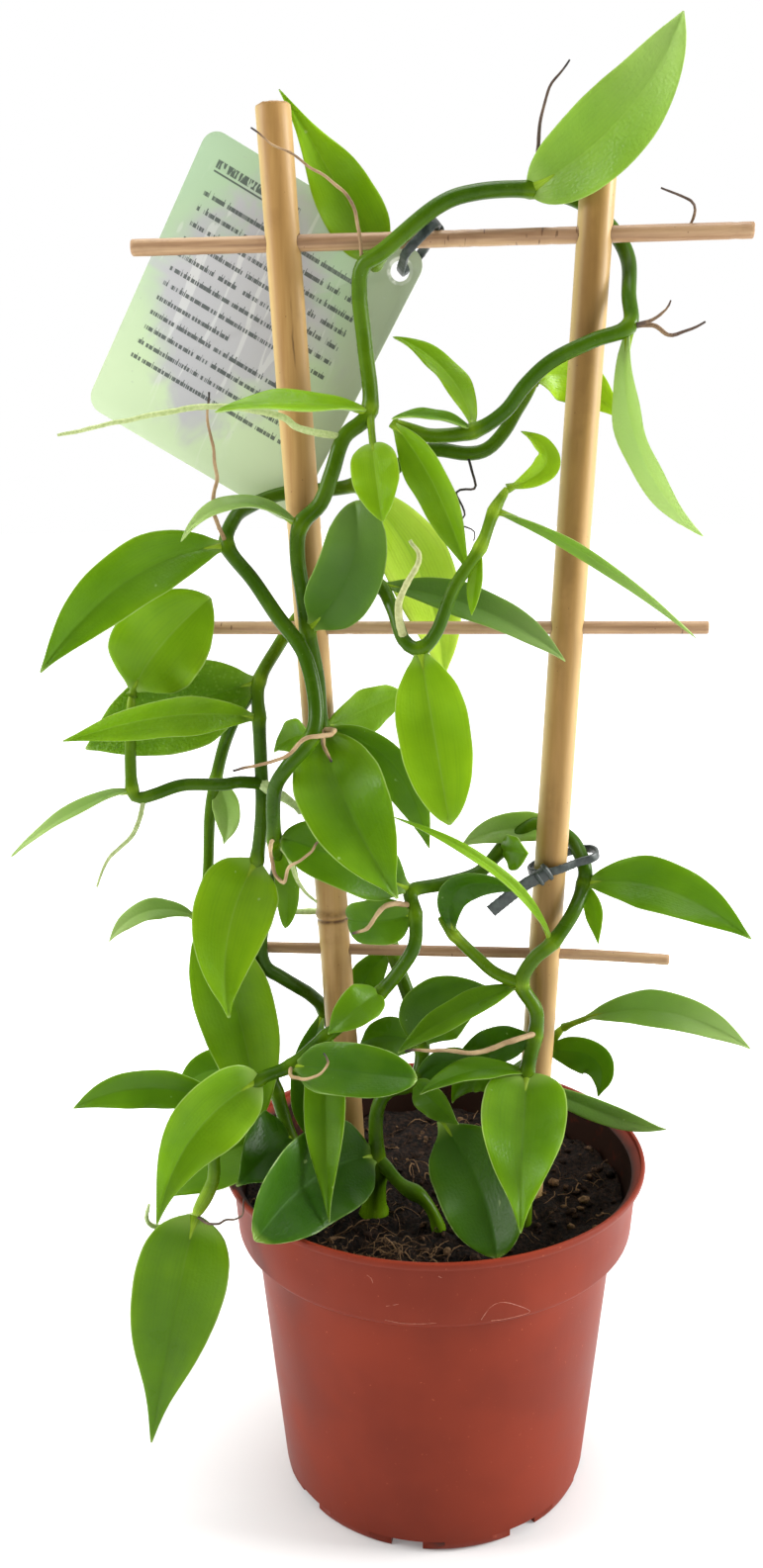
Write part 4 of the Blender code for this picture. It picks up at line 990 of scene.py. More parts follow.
@dataclass
class Soil:
    """Peat with a lumpy top, loose crumbs, dark and pale fibres."""

    top: float = 88.0
    dome: float = 1.2
    relief: float = 0.9
    edge: float = 54.6
    reach: float = 57.6
    wall: Sequence[Pair] = ((54.6, 84.2), (50.2, 81.0), (48.0, 50.0), (44.0, 5.2), (0.0, 5.2))
    crumbs: int = 620
    crumb_sizes: Sequence[float] = (0.5, 0.7, 0.9, 1.2, 1.7)
    crumb_tones: Sequence[float] = (0.1, 0.2, 0.3, 0.4, 0.5, 0.6, 0.95)
    fibres: int = 300
    rootlets: int = 170
    rootlet_place: Pair = (-14.0, -38.0)
    fibre_sizes: Sequence[float] = (0.10, 0.13, 0.18, 0.26)
    fibre_tones: Sequence[float] = (0.25, 0.4, 0.55, 0.8, 1.0, 1.3)
    seed: int = 7

    def level(self, x: float, y: float) -> float:
        """Height in mm of the lumpy surface at a place in mm."""
        reach = math.hypot(x, y) / self.reach
        lumps = math.sin(0.31 * x + 0.7) * math.cos(0.27 * y - 0.4) + 0.6 * math.sin(0.55 * x - 0.48 * y)
        heap = 2.6 * math.exp(-((x - 36.0) ** 2 + (y - 16.0) ** 2) / 620.0)
        return self.top + self.dome * (1 - reach * reach) + self.relief * lumps + heap

    def rough(self, x: float, y: float) -> float:
        """The same with coarse and fine crumb on it."""
        at = Vector((x, y, 0.0))
        crumb = 0.9 * noise.noise(at * 0.28) + 0.75 * noise.noise(at * 0.75) + 0.45 * noise.noise(at * 1.9)
        return self.level(x, y) + crumb + 0.35 * abs(noise.noise(at * 3.6))

    def ground(self) -> Form:
        """The body of the soil, its top finely crumbled."""
        form = Form()
        rings, sides = 64, 150

        def place(column: int, row: int) -> Vector:
            top = row <= rings
            r, z = (self.edge * (row / rings) ** 0.8, 0.0) if top else self.wall[row - rings - 1]
            x, y = polar(r, math.tau * column / sides)
            return Vector((x, y, self.rough(x, y) if top else z))

        form.weld(form.sheet(sides, rings + len(self.wall), place, 0.12))
        return form

    def loose(self, chance: random.Random) -> Form:
        """Crumbs that lie on the soil, as the random draws place them."""
        form = Form()
        for _ in range(self.crumbs):
            x, y = scattered(chance, 53.0)
            size = chance.choice(self.crumb_sizes) * chance.uniform(0.7, 1.2)
            turn = Matrix.Rotation(chance.uniform(0, 6.28), 4, "Z")
            turn = turn @ Matrix.Rotation(chance.uniform(0, 3.14), 4, "X")
            deep, thick = size * chance.uniform(0.5, 0.9), size * chance.uniform(0.4, 0.8)
            spot = Matrix.Translation((x, y, self.rough(x, y) + 0.25 * size))
            place = Matrix.Scale(MM, 4) @ spot @ turn @ Matrix.Diagonal((size, deep, thick, 1.0))
            made = bmesh.ops.create_icosphere(form.bm, subdivisions=1, radius=1.0, matrix=place)["verts"]
            tone = chance.choice(self.crumb_tones)
            for vertex in made:
                vertex[form.tone] = tone
        return form

    def hair(self, chance: random.Random) -> Form:
        """Fibres all over the soil and a tuft of rootlets near its front, as the random draws place them."""
        form = Form()
        for index in range(self.fibres + self.rootlets):
            x, y = scattered(chance, 52.0)
            if index >= self.fibres:
                x, y = chance.gauss(self.rootlet_place[0], 10.0), chance.gauss(self.rootlet_place[1], 6.0)
                if math.hypot(x, y) > 52.0:
                    continue
            heading, bend = chance.uniform(0, math.tau), chance.uniform(-0.5, 0.5)
            reach, lift = chance.uniform(2.5, 9.0), chance.uniform(0.1, 1.6)
            path: list[Vector] = []
            for k in range(6):
                x += reach / 5 * math.cos(heading)
                y += reach / 5 * math.sin(heading)
                heading += bend
                if math.hypot(x, y) > 53.5:
                    break
                path.append(Vector((x, y, self.rough(x, y) + 0.15 + lift * math.sin(math.pi * k / 5))))
            if len(path) < 3:
                continue
            width = chance.choice(self.fibre_sizes)
            tone = chance.choice(self.fibre_tones) + (0.25 if index >= self.fibres else 0.0)
            form.tube(path, [width * (1 - 0.6 * k / len(path)) for k in range(len(path))], 4, tone)
        return form

    def build(self) -> list[bpy.types.Object]:
        """Makes the soil, its crumbs and its fibres."""
        chance = random.Random(self.seed)
        material = PottingSoil().make()
        ground = self.ground().finish("soil_ground", material, Slot.SOIL, 180.0)
        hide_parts("soil")
        crumbs = self.loose(chance).finish("soil_crumbs", material, Slot.SOIL, 60.0)
        fibres = self.hair(chance).finish("soil_fibres", material, Slot.SOIL, 60.0)
        return [ground, crumbs, fibres]


@dataclass
class Cane:
    """One bamboo cane with joint rings, given as shares of its length, and a sawn top."""

    node: str
    foot: Point
    head: Point
    bamboo: Bamboo
    joints: tuple[float, ...] = ()
    foot_radius: float = 4.4
    head_radius: float = 4.1
    sides: int = 40
    swell: float = 0.45
    step: float = 2.4
    play: float = 0.22
    sharp: float = 50.0

    def row(self, at: float) -> Pair:
        """Radius in mm and darkness of the ring at a distance in mm from the foot."""
        length = (Vector(self.head) - Vector(self.foot)).length
        radius = self.foot_radius + (self.head_radius - self.foot_radius) * at / length
        dark = 0.0
        for joint in self.joints:
            gap = at - joint * length
            if -3.5 < gap < 3.5:
                radius += self.swell * (0.95 * bell(gap - 0.9, 1.1) + 0.25 * bell(gap + 1.7, 1.0))
                radius -= 0.30 * bell(gap + 0.45, 0.35)
                dark = max(dark, bell(gap + 0.45, 0.55), 0.55 * bell(gap - 1.6, 1.2))
        return radius, dark

    def build(self, bars: Sequence["Rung"]) -> bpy.types.Object:
        """Makes the cane with the holes that the bars pass through.

        Args:
            bars: The bars.

        Returns:
            The cane.
        """
        foot, head = Vector(self.foot), Vector(self.head)
        lean = (head - foot).to_track_quat("Z", "Y").to_matrix()
        length = (head - foot).length
        stops = [k * self.step for k in range(int((length - 1) / self.step))]
        for joint in self.joints:
            middle = joint * length
            stops = [s for s in stops if abs(s - middle) > 3.6]
            stops += [middle + k * 0.3 for k in range(-12, 13)]
        top = self.head_radius
        rows = [
            (0.0, 0.0), *((self.row(s)[0], s) for s in sorted(stops)), (top, length - 0.6),
            (top - 0.12, length - 0.2), (top - 0.4, length), (2.6, length - 0.1), (1.5, length),
            (1.2, length - 0.3), (1.1, length - 5.5), (0.0, length - 6.0),
        ]
        tones = [0.35 if at > length - 0.3 and radius < top else self.row(at)[1] for radius, at in rows]

        def place(column: int, row: int) -> Vector:
            radius, at = rows[row]
            ring = Vector((*polar(1.0, math.tau * column / self.sides), 0.0))
            uneven = 1 + 0.018 * noise.noise(ring * 1.2 + Vector((0, 0, at * 0.02)) + foot)
            saw = 0.35 * noise.noise(ring * 3.0 + foot) if length - 0.7 < at and radius > 1.3 else 0.0
            return foot + lean @ (ring * radius * uneven + Vector((0.0, 0.0, at + saw)))

        form = Form()
        form.weld(form.sheet(self.sides, len(rows) - 1, place, tones))
        cane = form.finish(f"{self.node}_culm", self.bamboo.make(), Slot.BAMBOO, self.sharp)
        holes = Form()
        for bar in bars:
            at = foot.lerp(head, (bar.height - foot.z) / (head.z - foot.z))
            holes.rod(bar.radius + self.play, 24.0, Matrix.Translation(at) @ turned(90, "Y"), 28)
        cut_away(cane, holes, self.sharp)
        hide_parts(self.node)
        return cane


@dataclass
class Rung:
    """One thin cross bar, slightly uneven, with sawn ends and a few nicks."""

    node: str
    left: float
    right: float
    height: float
    radius: float
    droop: float = 0.0
    hinge: float = 34.0
    sides: int = 28

    def sag(self, x: float) -> float:
        """How far in mm the free right end of the bar hangs down at a place."""
        return self.droop * max(0.0, (x - self.hinge) / (self.right - self.hinge)) ** 1.6

    def build(self, material: bpy.types.Material) -> bpy.types.Object:
        """Makes the bar."""
        length = self.right - self.left
        count = int(length / 1.5)
        inner = [self.left + 1.0 + (length - 2.0) * k / count for k in range(count + 1)]
        stops = [self.left, self.left + 0.25, *inner, self.right - 0.25, self.right]
        path = [Vector((x, 0, self.height - self.sag(x))) for x in stops]
        radii = []
        for index, point in enumerate(path):
            share = (point.x - self.left) / length
            radius = self.radius * (1 - 0.035 * share + 0.02 * noise.noise(point * 0.11))
            nick = max(0.0, noise.noise(point * 0.55 + Vector((self.height, 0, 0))) - 0.34)
            radii.append(radius - 0.25 * nick - (0.22 if index in (0, len(path) - 1) else 0.0))
        form = Form()
        form.tube(path, radii, self.sides, tone=0.0, cap=0.3)
        bar = form.finish(f"{self.node}_stick", material, Slot.RUNG, 45.0)
        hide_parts(self.node)
        return bar


@dataclass
class Ladder:
    """Two canes and the three bars that pass through them."""

    grain: Point = (120, 120, 14)
    pale: Colour = (0.46, 0.285, 0.105)
    tan: Colour = (0.325, 0.183, 0.056)

    def build(self) -> list[bpy.types.Object]:
        """Makes the canes, then the bars."""
        left = Bamboo(
            "cane_left_bamboo", self.grain, self.pale, self.tan, (0.225, 0.117, 0.033),
            crack=(-0.0180, -0.047), axis=(-0.0194, -0.0469), right_highlight_share=0.30,
        )
        right = Bamboo(
            "cane_right_bamboo", self.grain, self.tan, (0.25, 0.143, 0.038), (0.165, 0.086, 0.020),
            slits=0.3, axis=(0.0237, 0.0387),
        )
        stick = Bamboo(
            "rung_wood", (20, 520, 520), (0.50, 0.34, 0.19), (0.37, 0.23, 0.125), (0.22, 0.12, 0.062),
            slits=0.35, nicked=True,
        ).make()
        canes = (
            Cane("cane_left", (-20.2, 0.0, 16.0), (-36.7, 0.0, 367.5), left, (0.13, 0.447)),
            Cane("cane_right", (24.4, 0.0, 18.0), (37.7, 0.0, 362.0), right),
        )
        bars = (
            Rung("bar_top", -71.6, 72.6, 339.0, 1.85), Rung("bar_middle", -68.5, 68.2, 250.5, 1.65),
            Rung("bar_bottom", -62.0, 63.4, 163.6, 1.55, droop=1.1),
        )
        return [cane.build(bars) for cane in canes] + [bar.build(stick) for bar in bars]


@dataclass
class Card:
    """Stiff coated card with rounded corners and a punched hole."""

    size: Pair = (60.0, 71.0)
    thickness: float = 0.6
    rounding: float = 0.06
    corner: float = 4.0
    corner_steps: int = 8
    centre: Point = (-45.9, 13.0, 320.9)
    lean: float = 30.0
    hole: Pair = (25.4, 29.8)
    hole_radius: float = 2.4
    hole_sides: int = 30

    def rings(self) -> tuple[list[Pair], list[Pair]]:
        """The card's outline and its hole in mm, seen flat."""
        outline: list[Pair] = []
        for sx, sy, start in ((1, 1, 0), (-1, 1, 90), (-1, -1, 180), (1, -1, 270)):
            for step in range(self.corner_steps + 1):
                x, y = polar(self.corner, math.radians(start + step * 90.0 / self.corner_steps))
                x += sx * (self.size[0] / 2 - self.corner)
                outline.append((x, y + sy * (self.size[1] / 2 - self.corner)))
        turns = (polar(self.hole_radius, -math.tau * k / self.hole_sides) for k in range(self.hole_sides))
        return outline, [(self.hole[0] + x, self.hole[1] + y) for x, y in turns]

    def build(self) -> bpy.types.Object:
        """Makes the card, its long edges softly rounded."""
        curve = bpy.data.curves.new("card_outline", "CURVE")
        curve.dimensions = "2D"
        curve.fill_mode = "BOTH"
        curve.extrude = (self.thickness / 2 - self.rounding) * MM
        curve.bevel_depth = self.rounding * MM
        curve.bevel_resolution = 1
        for points in self.rings():
            spline = curve.splines.new("POLY")
            spline.use_cyclic_u = True
            spline.points.add(len(points) - 1)
            for target, (x, y) in zip(spline.points, points):
                target.co = (x * MM, y * MM, 0.0, 1.0)
        source = linked("card_outline", curve)
        form = Form()
        form.bm.from_mesh(evaluated(source))
        bpy.data.objects.remove(source)
        form.weld(form.bm.verts, 2 * WELD)
        layer = form.bm.loops.layers.uv.verify()
        for face in form.bm.faces:
            for loop in face.loops:
                x, y = loop.vert.co.x / MM, loop.vert.co.y / MM
                loop[layer].uv = (x / self.size[0] + 0.5, y / self.size[1] + 0.5)
        stand = Matrix.Translation(Vector(self.centre) * MM) @ turned(self.lean, "Y") @ turned(90, "X")
        bmesh.ops.transform(form.bm, matrix=stand, verts=form.bm.verts)
        card = form.finish("hanging_card", CardPrint().make(), Slot.CARD, 40.0)
        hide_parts("label_card")
        return card


@dataclass
class Ties:
    """The card's strap round the top rung, and the plant tie round the right cane."""

    width: float = 2.2
    thickness: float = 0.9
    tail_width: float = 3.5
    sides: int = 16
    step: float = 0.7
    top_loop: Sequence[Pair] = (
        (0.7, 11.5), (1.3, 8.5), (2.6, 3.5), (3.2, 0.0), (4.2, -2.1), (6.4, -3.0), (10.4, -3.0),
        (12.7, -2.1), (13.6, 0.0), (13.0, 2.6), (11.2, 7.0), (9.6, 11.0), (8.2, 14.0), (6.0, 16.0),
        (3.4, 16.2), (1.2, 15.0), (0.6, 13.2),
    )
    top_foot: Point = (-9.3, 0.0, 333.4)
    top_rise: float = 42.0
    right_loop: Sequence[Pair] = (
        (25.3, 0.0), (26.4, -3.5), (29.2, -5.5), (33.2, -5.4), (38.0, -2.4), (41.8, -1.3), (43.6, 1.4),
        (43.4, 5.4), (41.8, 8.6), (38.2, 9.9), (34.2, 8.6), (30.4, 6.0), (26.9, 4.1),
    )
    right_foot: Point = (31.0, 0.0, 188.4)
    right_slope: float = 13.0
    tail: Sequence[Point] = (
        (28.4, -6.9, 187.4), (25.0, -7.8, 185.8), (20.6, -8.8, 182.6), (15.6, -9.4, 178.4),
    )

    def strap(self, form: Form, loop: Sequence[Pair], place: Matrix) -> None:
        """Bends a flat strap round a loop given in a plane."""
        ring = [place @ Vector((x, y, 0.0)) for x, y in loop]
        path, _ = smooth_route([*ring[-2:], *ring, *ring[:3]], self.step)
        lengths = lengths_along(path)
        gaps = [(point - ring[0]).length for point in path]
        start = min(range(len(path) // 2), key=gaps.__getitem__)
        end = max(k for k, gap in enumerate(gaps) if gap < self.step / 2 + 0.01)
        ridges = [self.width / 2 * (1 + 0.05 * math.sin(at * 5.0)) for at in lengths[start:end]]
        axis = (place.to_3x3() @ Vector((0, 0, 1))).normalized()
        flat = self.thickness / self.width
        form.tube(path[start:end], ridges, self.sides, flat=flat, square=0.45, lift=axis, closed=True)

    def upper(self) -> Form:
        """The card's strap with its buckle."""
        x, z = polar(1.0, math.radians(self.top_rise))
        along, depth = Vector((x, 0.0, z)), Vector((0.0, 1.0, 0.0))
        turn = Matrix((along, depth, along.cross(depth))).transposed().to_4x4()
        place = Matrix.Translation(self.top_foot) @ turn
        form = Form()
        self.strap(form, self.top_loop, place)
        form.block((3.0, 3.2, 3.4), place @ Matrix.Translation((12.7, 4.3, 0.0)), 0.5)
        form.block((1.0, 3.7, 3.8), place @ Matrix.Translation((12.2, 4.3, 0.0)), 0.3)
        return form

    def lower(self) -> Form:
        """The plant tie with its lock and its loose tail."""
        foot = Vector(self.right_foot)
        ring = Matrix.Translation(foot) @ turned(-self.right_slope, "Y") @ Matrix.Translation((-foot.x, 0, 0))
        form = Form()
        self.strap(form, self.right_loop, ring)
        start, end = Vector(self.tail[0]), Vector(self.tail[-1])
        turn = (end - start).to_track_quat("X", "Z").to_matrix().to_4x4()
        seat = Matrix.Translation(start + Vector((0.6, 0.6, 0.3))) @ turn
        form.block((4.2, 3.0, 3.4), seat, 0.45)
        form.block((1.1, 3.5, 4.2), seat @ Matrix.Translation((-1.3, 0, 0)), 0.3)
        form.block((0.9, 3.4, 4.0), seat @ Matrix.Translation((1.4, 0, 0)), 0.3)
        path, _ = smooth_route([tuple(start + (start - Vector(self.tail[1])) * 0.2), *self.tail], self.step)
        ridges = [self.tail_width / 2 * (1 + 0.03 * math.sin(at * 4.2)) for at in lengths_along(path)]
        flat = self.thickness / self.tail_width
        form.tube(path, ridges, self.sides, flat=flat, square=0.4, lift=Vector((0.3, 0.0, 1.0)))
        return form

    def build(self) -> list[bpy.types.Object]:
        """Makes both ties."""
        material = TiePlastic().make()
        top = self.upper().finish("card_tie", material, Slot.TIE, 50.0)
        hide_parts("tie_top")
        right = self.lower().finish("plant_tie", material, Slot.TIE, 50.0)
        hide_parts("tie_right")
        return [top, right]


@dataclass
class Vine:
    """One leafy stem with its shoots, blades and air roots; a knee thickens the stem at a point."""

    node: str
    routes: Sequence[Sequence[Point]]
    leaves: Sequence[Leaf]
    roots: Sequence[Root]
    stem: float = 1.98
    shoot: float = 1.68
    base: float = 2.4
    slim: float = 0.35
    knees: Sequence[tuple[Point, float]] = ()
    viewer: Point = (22.0, -351.0, 291.0)
    soil: float = 80.0
    blade_rows: int = 36
    blade_columns: Sequence[float] = (0.0, 0.04, 0.10, 0.20, 0.34, 0.50, 0.66, 0.80, 0.91, 0.975, 1.0)
    full_width: float = 14.0

    def midrib(self, leaf: Leaf, t: float) -> tuple[Vector, Vector, Vector]:
        """Midrib point, side and face direction of a blade.

        Args:
            leaf: The blade.
            t: 0 at its base, 1 at its tip.

        Returns:
            The point in mm, the direction across the blade and the one out of its upper face.
        """
        base = Vector(self.routes[leaf.place[0]][leaf.place[1]])
        middle, tip = Vector(leaf.middle), Vector(leaf.tip)
        control = 2 * middle - (base + tip) / 2
        point = (1 - t) ** 2 * base + 2 * t * (1 - t) * control + t * t * tip
        along = ((1 - t) * (control - base) + t * (tip - control)).normalized()
        chord = (tip - base).normalized()
        toward = Vector(self.viewer) - (base + tip) / 2
        face = (toward - toward.dot(chord) * chord).normalized()
        face = Matrix.Rotation(math.radians(leaf.turn), 3, chord) @ face
        face = (face - face.dot(along) * along).normalized()
        return point, along.cross(face), face

    def blade(self, form: Form, leaf: Leaf, index: int) -> None:
        """Adds one fleshy blade: gutter along the midrib, rounded rim, slightly waved sides, hooked tip."""
        shares = [-s for s in reversed(self.blade_columns[1:])] + list(self.blade_columns)
        columns, rows = len(shares) - 1, self.blade_rows
        phase, waves = 1.7 * index + len(self.node), 2.2 + 0.4 * math.sin(index * 2.3)
        fold = math.radians(18.0 + 4.0 * math.sin(index * 1.9))
        small = min(1.0, leaf.width / self.full_width)

        def surface(column: int, row: int, side: int) -> Vector:
            t = 0.35 * (0.5 - 0.5 * math.cos(math.pi * row / rows)) + 0.65 * row / rows
            share = shares[column]
            point, across, face = self.midrib(leaf, leaf.stalk + (1 - leaf.stalk) * t)
            half = max(0.12, hermite(leaf.outline.value, t) * leaf.width / 2)
            valley = (math.sqrt(share * share + 0.016) - 0.126) / 0.88
            wave = 0.045 * leaf.width * math.sin(math.tau * waves * t + phase + 0.9 * share)
            wave *= share * share * math.sin(math.pi * min(1.0, t * 1.05))
            hook = -0.9 * small * max(0.0, (t - 0.86) / 0.14) ** 2
            body = math.sqrt(max(0.0, 1 - share ** 4) * min(1.0, t / 0.03, (1 - t) / 0.03))
            rise = 0.5 * (0.55 + 0.45 * small) * body
            if side > 0:
                rise -= 0.20 * small * bell(share * half, 0.5) * body
            else:
                rise = -rise - 0.55 * small * (1 - t) * bell(share * half, 0.9) * body
            return (
                point + across * (share * half * math.cos(fold))
                + face * (valley * half * math.sin(fold) + wave + hook + rise)
            )

        made: list[bmesh.types.BMVert] = []
        even = [(share + 1) / 2 for share in shares]
        for side, under in ((1, leaf.pale), (-1, 1.0 + 0.7 * leaf.pale)):
            made += form.sheet(
                columns, rows, lambda column, row, s=side: surface(column, row, s),
                leaf.tone, under, leaf.speck, even,
            )
        form.weld(made)

    def petiole(self, form: Form, leaf: Leaf) -> None:
        """Adds the thick stalk that joins a blade to its node, longer where the blade starts later."""
        small = min(1.0, 0.45 + leaf.width / 30.0)
        shares = [leaf.stalk + (1 - leaf.stalk) * t for t in (0.0, 0.02, 0.045, 0.075, 0.11, 0.15)]
        sizes, tones = [1.75, 1.6, 1.3, 1.0, 0.8, 0.3], [0.62, 0.66, 0.76, 0.80, 0.76, 0.66]
        if leaf.stalk:
            shares = [0.0, 0.3 * leaf.stalk, 0.6 * leaf.stalk, *shares]
            sizes = [1.6, 1.15, 1.05, 1.05, 1.05, 1.0, *sizes[3:]]
            tones = [0.56, 0.62, 0.66, *tones]
        path = [point - face * 0.35 for point, _, face in (self.midrib(leaf, t) for t in shares)]
        form.tube(path, [small * s for s in sizes], 12, tones)

    def stems(self) -> Form:
        """All stems and shoots, thicker at the nodes and where they leave the soil, with every petiole."""
        form = Form()
        for number, route in enumerate(self.routes):
            path, marks = smooth_route(route, 1.4)
            lengths = lengths_along(path)
            nodes = sorted({lengths[marks[leaf.place[1]]] for leaf in self.leaves if leaf.place[0] == number})
            size, total, end = self.shoot if number else self.stem, lengths[-1], path[-1].z
            rooted = number == 0 or path[0].z < self.soil
            radii, tones = [], []
            for point, at in zip(path, lengths):
                bump = min(1.0, sum(bell(at - node, 1.9) for node in nodes))
                ring = min(1.0, sum(bell(at - node + 1.6, 0.45) for node in nodes))
                low, left = within((118.0 - point.z) / 26.0), total - at
                radius = size * (1 + 0.05 * noise.noise(point * 0.06)) + 0.32 * bump - 0.12 * ring
                radius -= self.slim * (at / total) ** 2
                radius += sum(extra * bell((point - Vector(knee)).length, 3.0) for knee, extra in self.knees)
                if rooted:
                    radius += (self.base - size) * low * low * (3 - 2 * low)
                if end > self.soil and left < 5.0:
                    radius *= 0.45 + 0.55 * math.sqrt(max(0.0, left / 5.0))
                radii.append(radius)
                young = max(0.0, 1 - left / 34.0) * 0.24 if end > 95 else 0.0
                tones.append(0.36 + 0.16 * noise.noise(point * 0.03) + 0.20 * bump + young + 0.16 * low)
            form.tube(path, radii, 18, tones)
        for leaf in self.leaves:
            self.petiole(form, leaf)
        return form

    def air_roots(self) -> Form:
        """Thin kinked air roots, drying to a dark tip."""
        form = Form()
        for number, root in enumerate(self.roots):
            path, _ = smooth_route(root.points, 1.0)
            bent, radii, tones = [], [], []
            for index, point in enumerate(path):
                share = index / (len(path) - 1)
                sway = 0.55 * min(1.0, 4 * share) * (1 - 0.7 * root.green)
                bent.append(point + noise.noise_vector(point * 0.22 + Vector((number * 7.0, 0, 0))) * sway)
                radii.append(root.radius * (1.12 - 0.62 * share ** 1.5 + 0.14 * noise.noise(point * 0.9)))
                dry = root.dark + (1 - root.dark) * max(0.0, (share - 0.86) / 0.14) * (1 - root.green)
                tones.append(0.74 + 0.25 * noise.noise(point * 0.25) - 0.78 * dry)
            form.tube(bent, radii, 9, tones, under=root.green)
        return form

    def build(
        self, stem: bpy.types.Material, leaf: bpy.types.Material, root: bpy.types.Material,
    ) -> list[bpy.types.Object]:
        """Makes the stem, the blades and the air roots.

        Args:
            stem: Finish of the stems.
            leaf: Finish of the blades.
            root: Finish of the air roots.

        Returns:
            The three pieces.
        """
        stems = self.stems().finish(f"{self.node}_stem", stem, Slot.FOLIAGE, 60.0)
        blades = Form()
        for index, blade in enumerate(self.leaves):
            self.blade(blades, blade, index)
        leaves = blades.finish(f"{self.node}_leaves", leaf, Slot.FOLIAGE, 75.0)
        roots = self.air_roots().finish(f"{self.node}_air_roots", root, Slot.FOLIAGE, 60.0)
        for piece in (stems, leaves, roots):
            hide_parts(self.node)
        return [stems, leaves, roots]


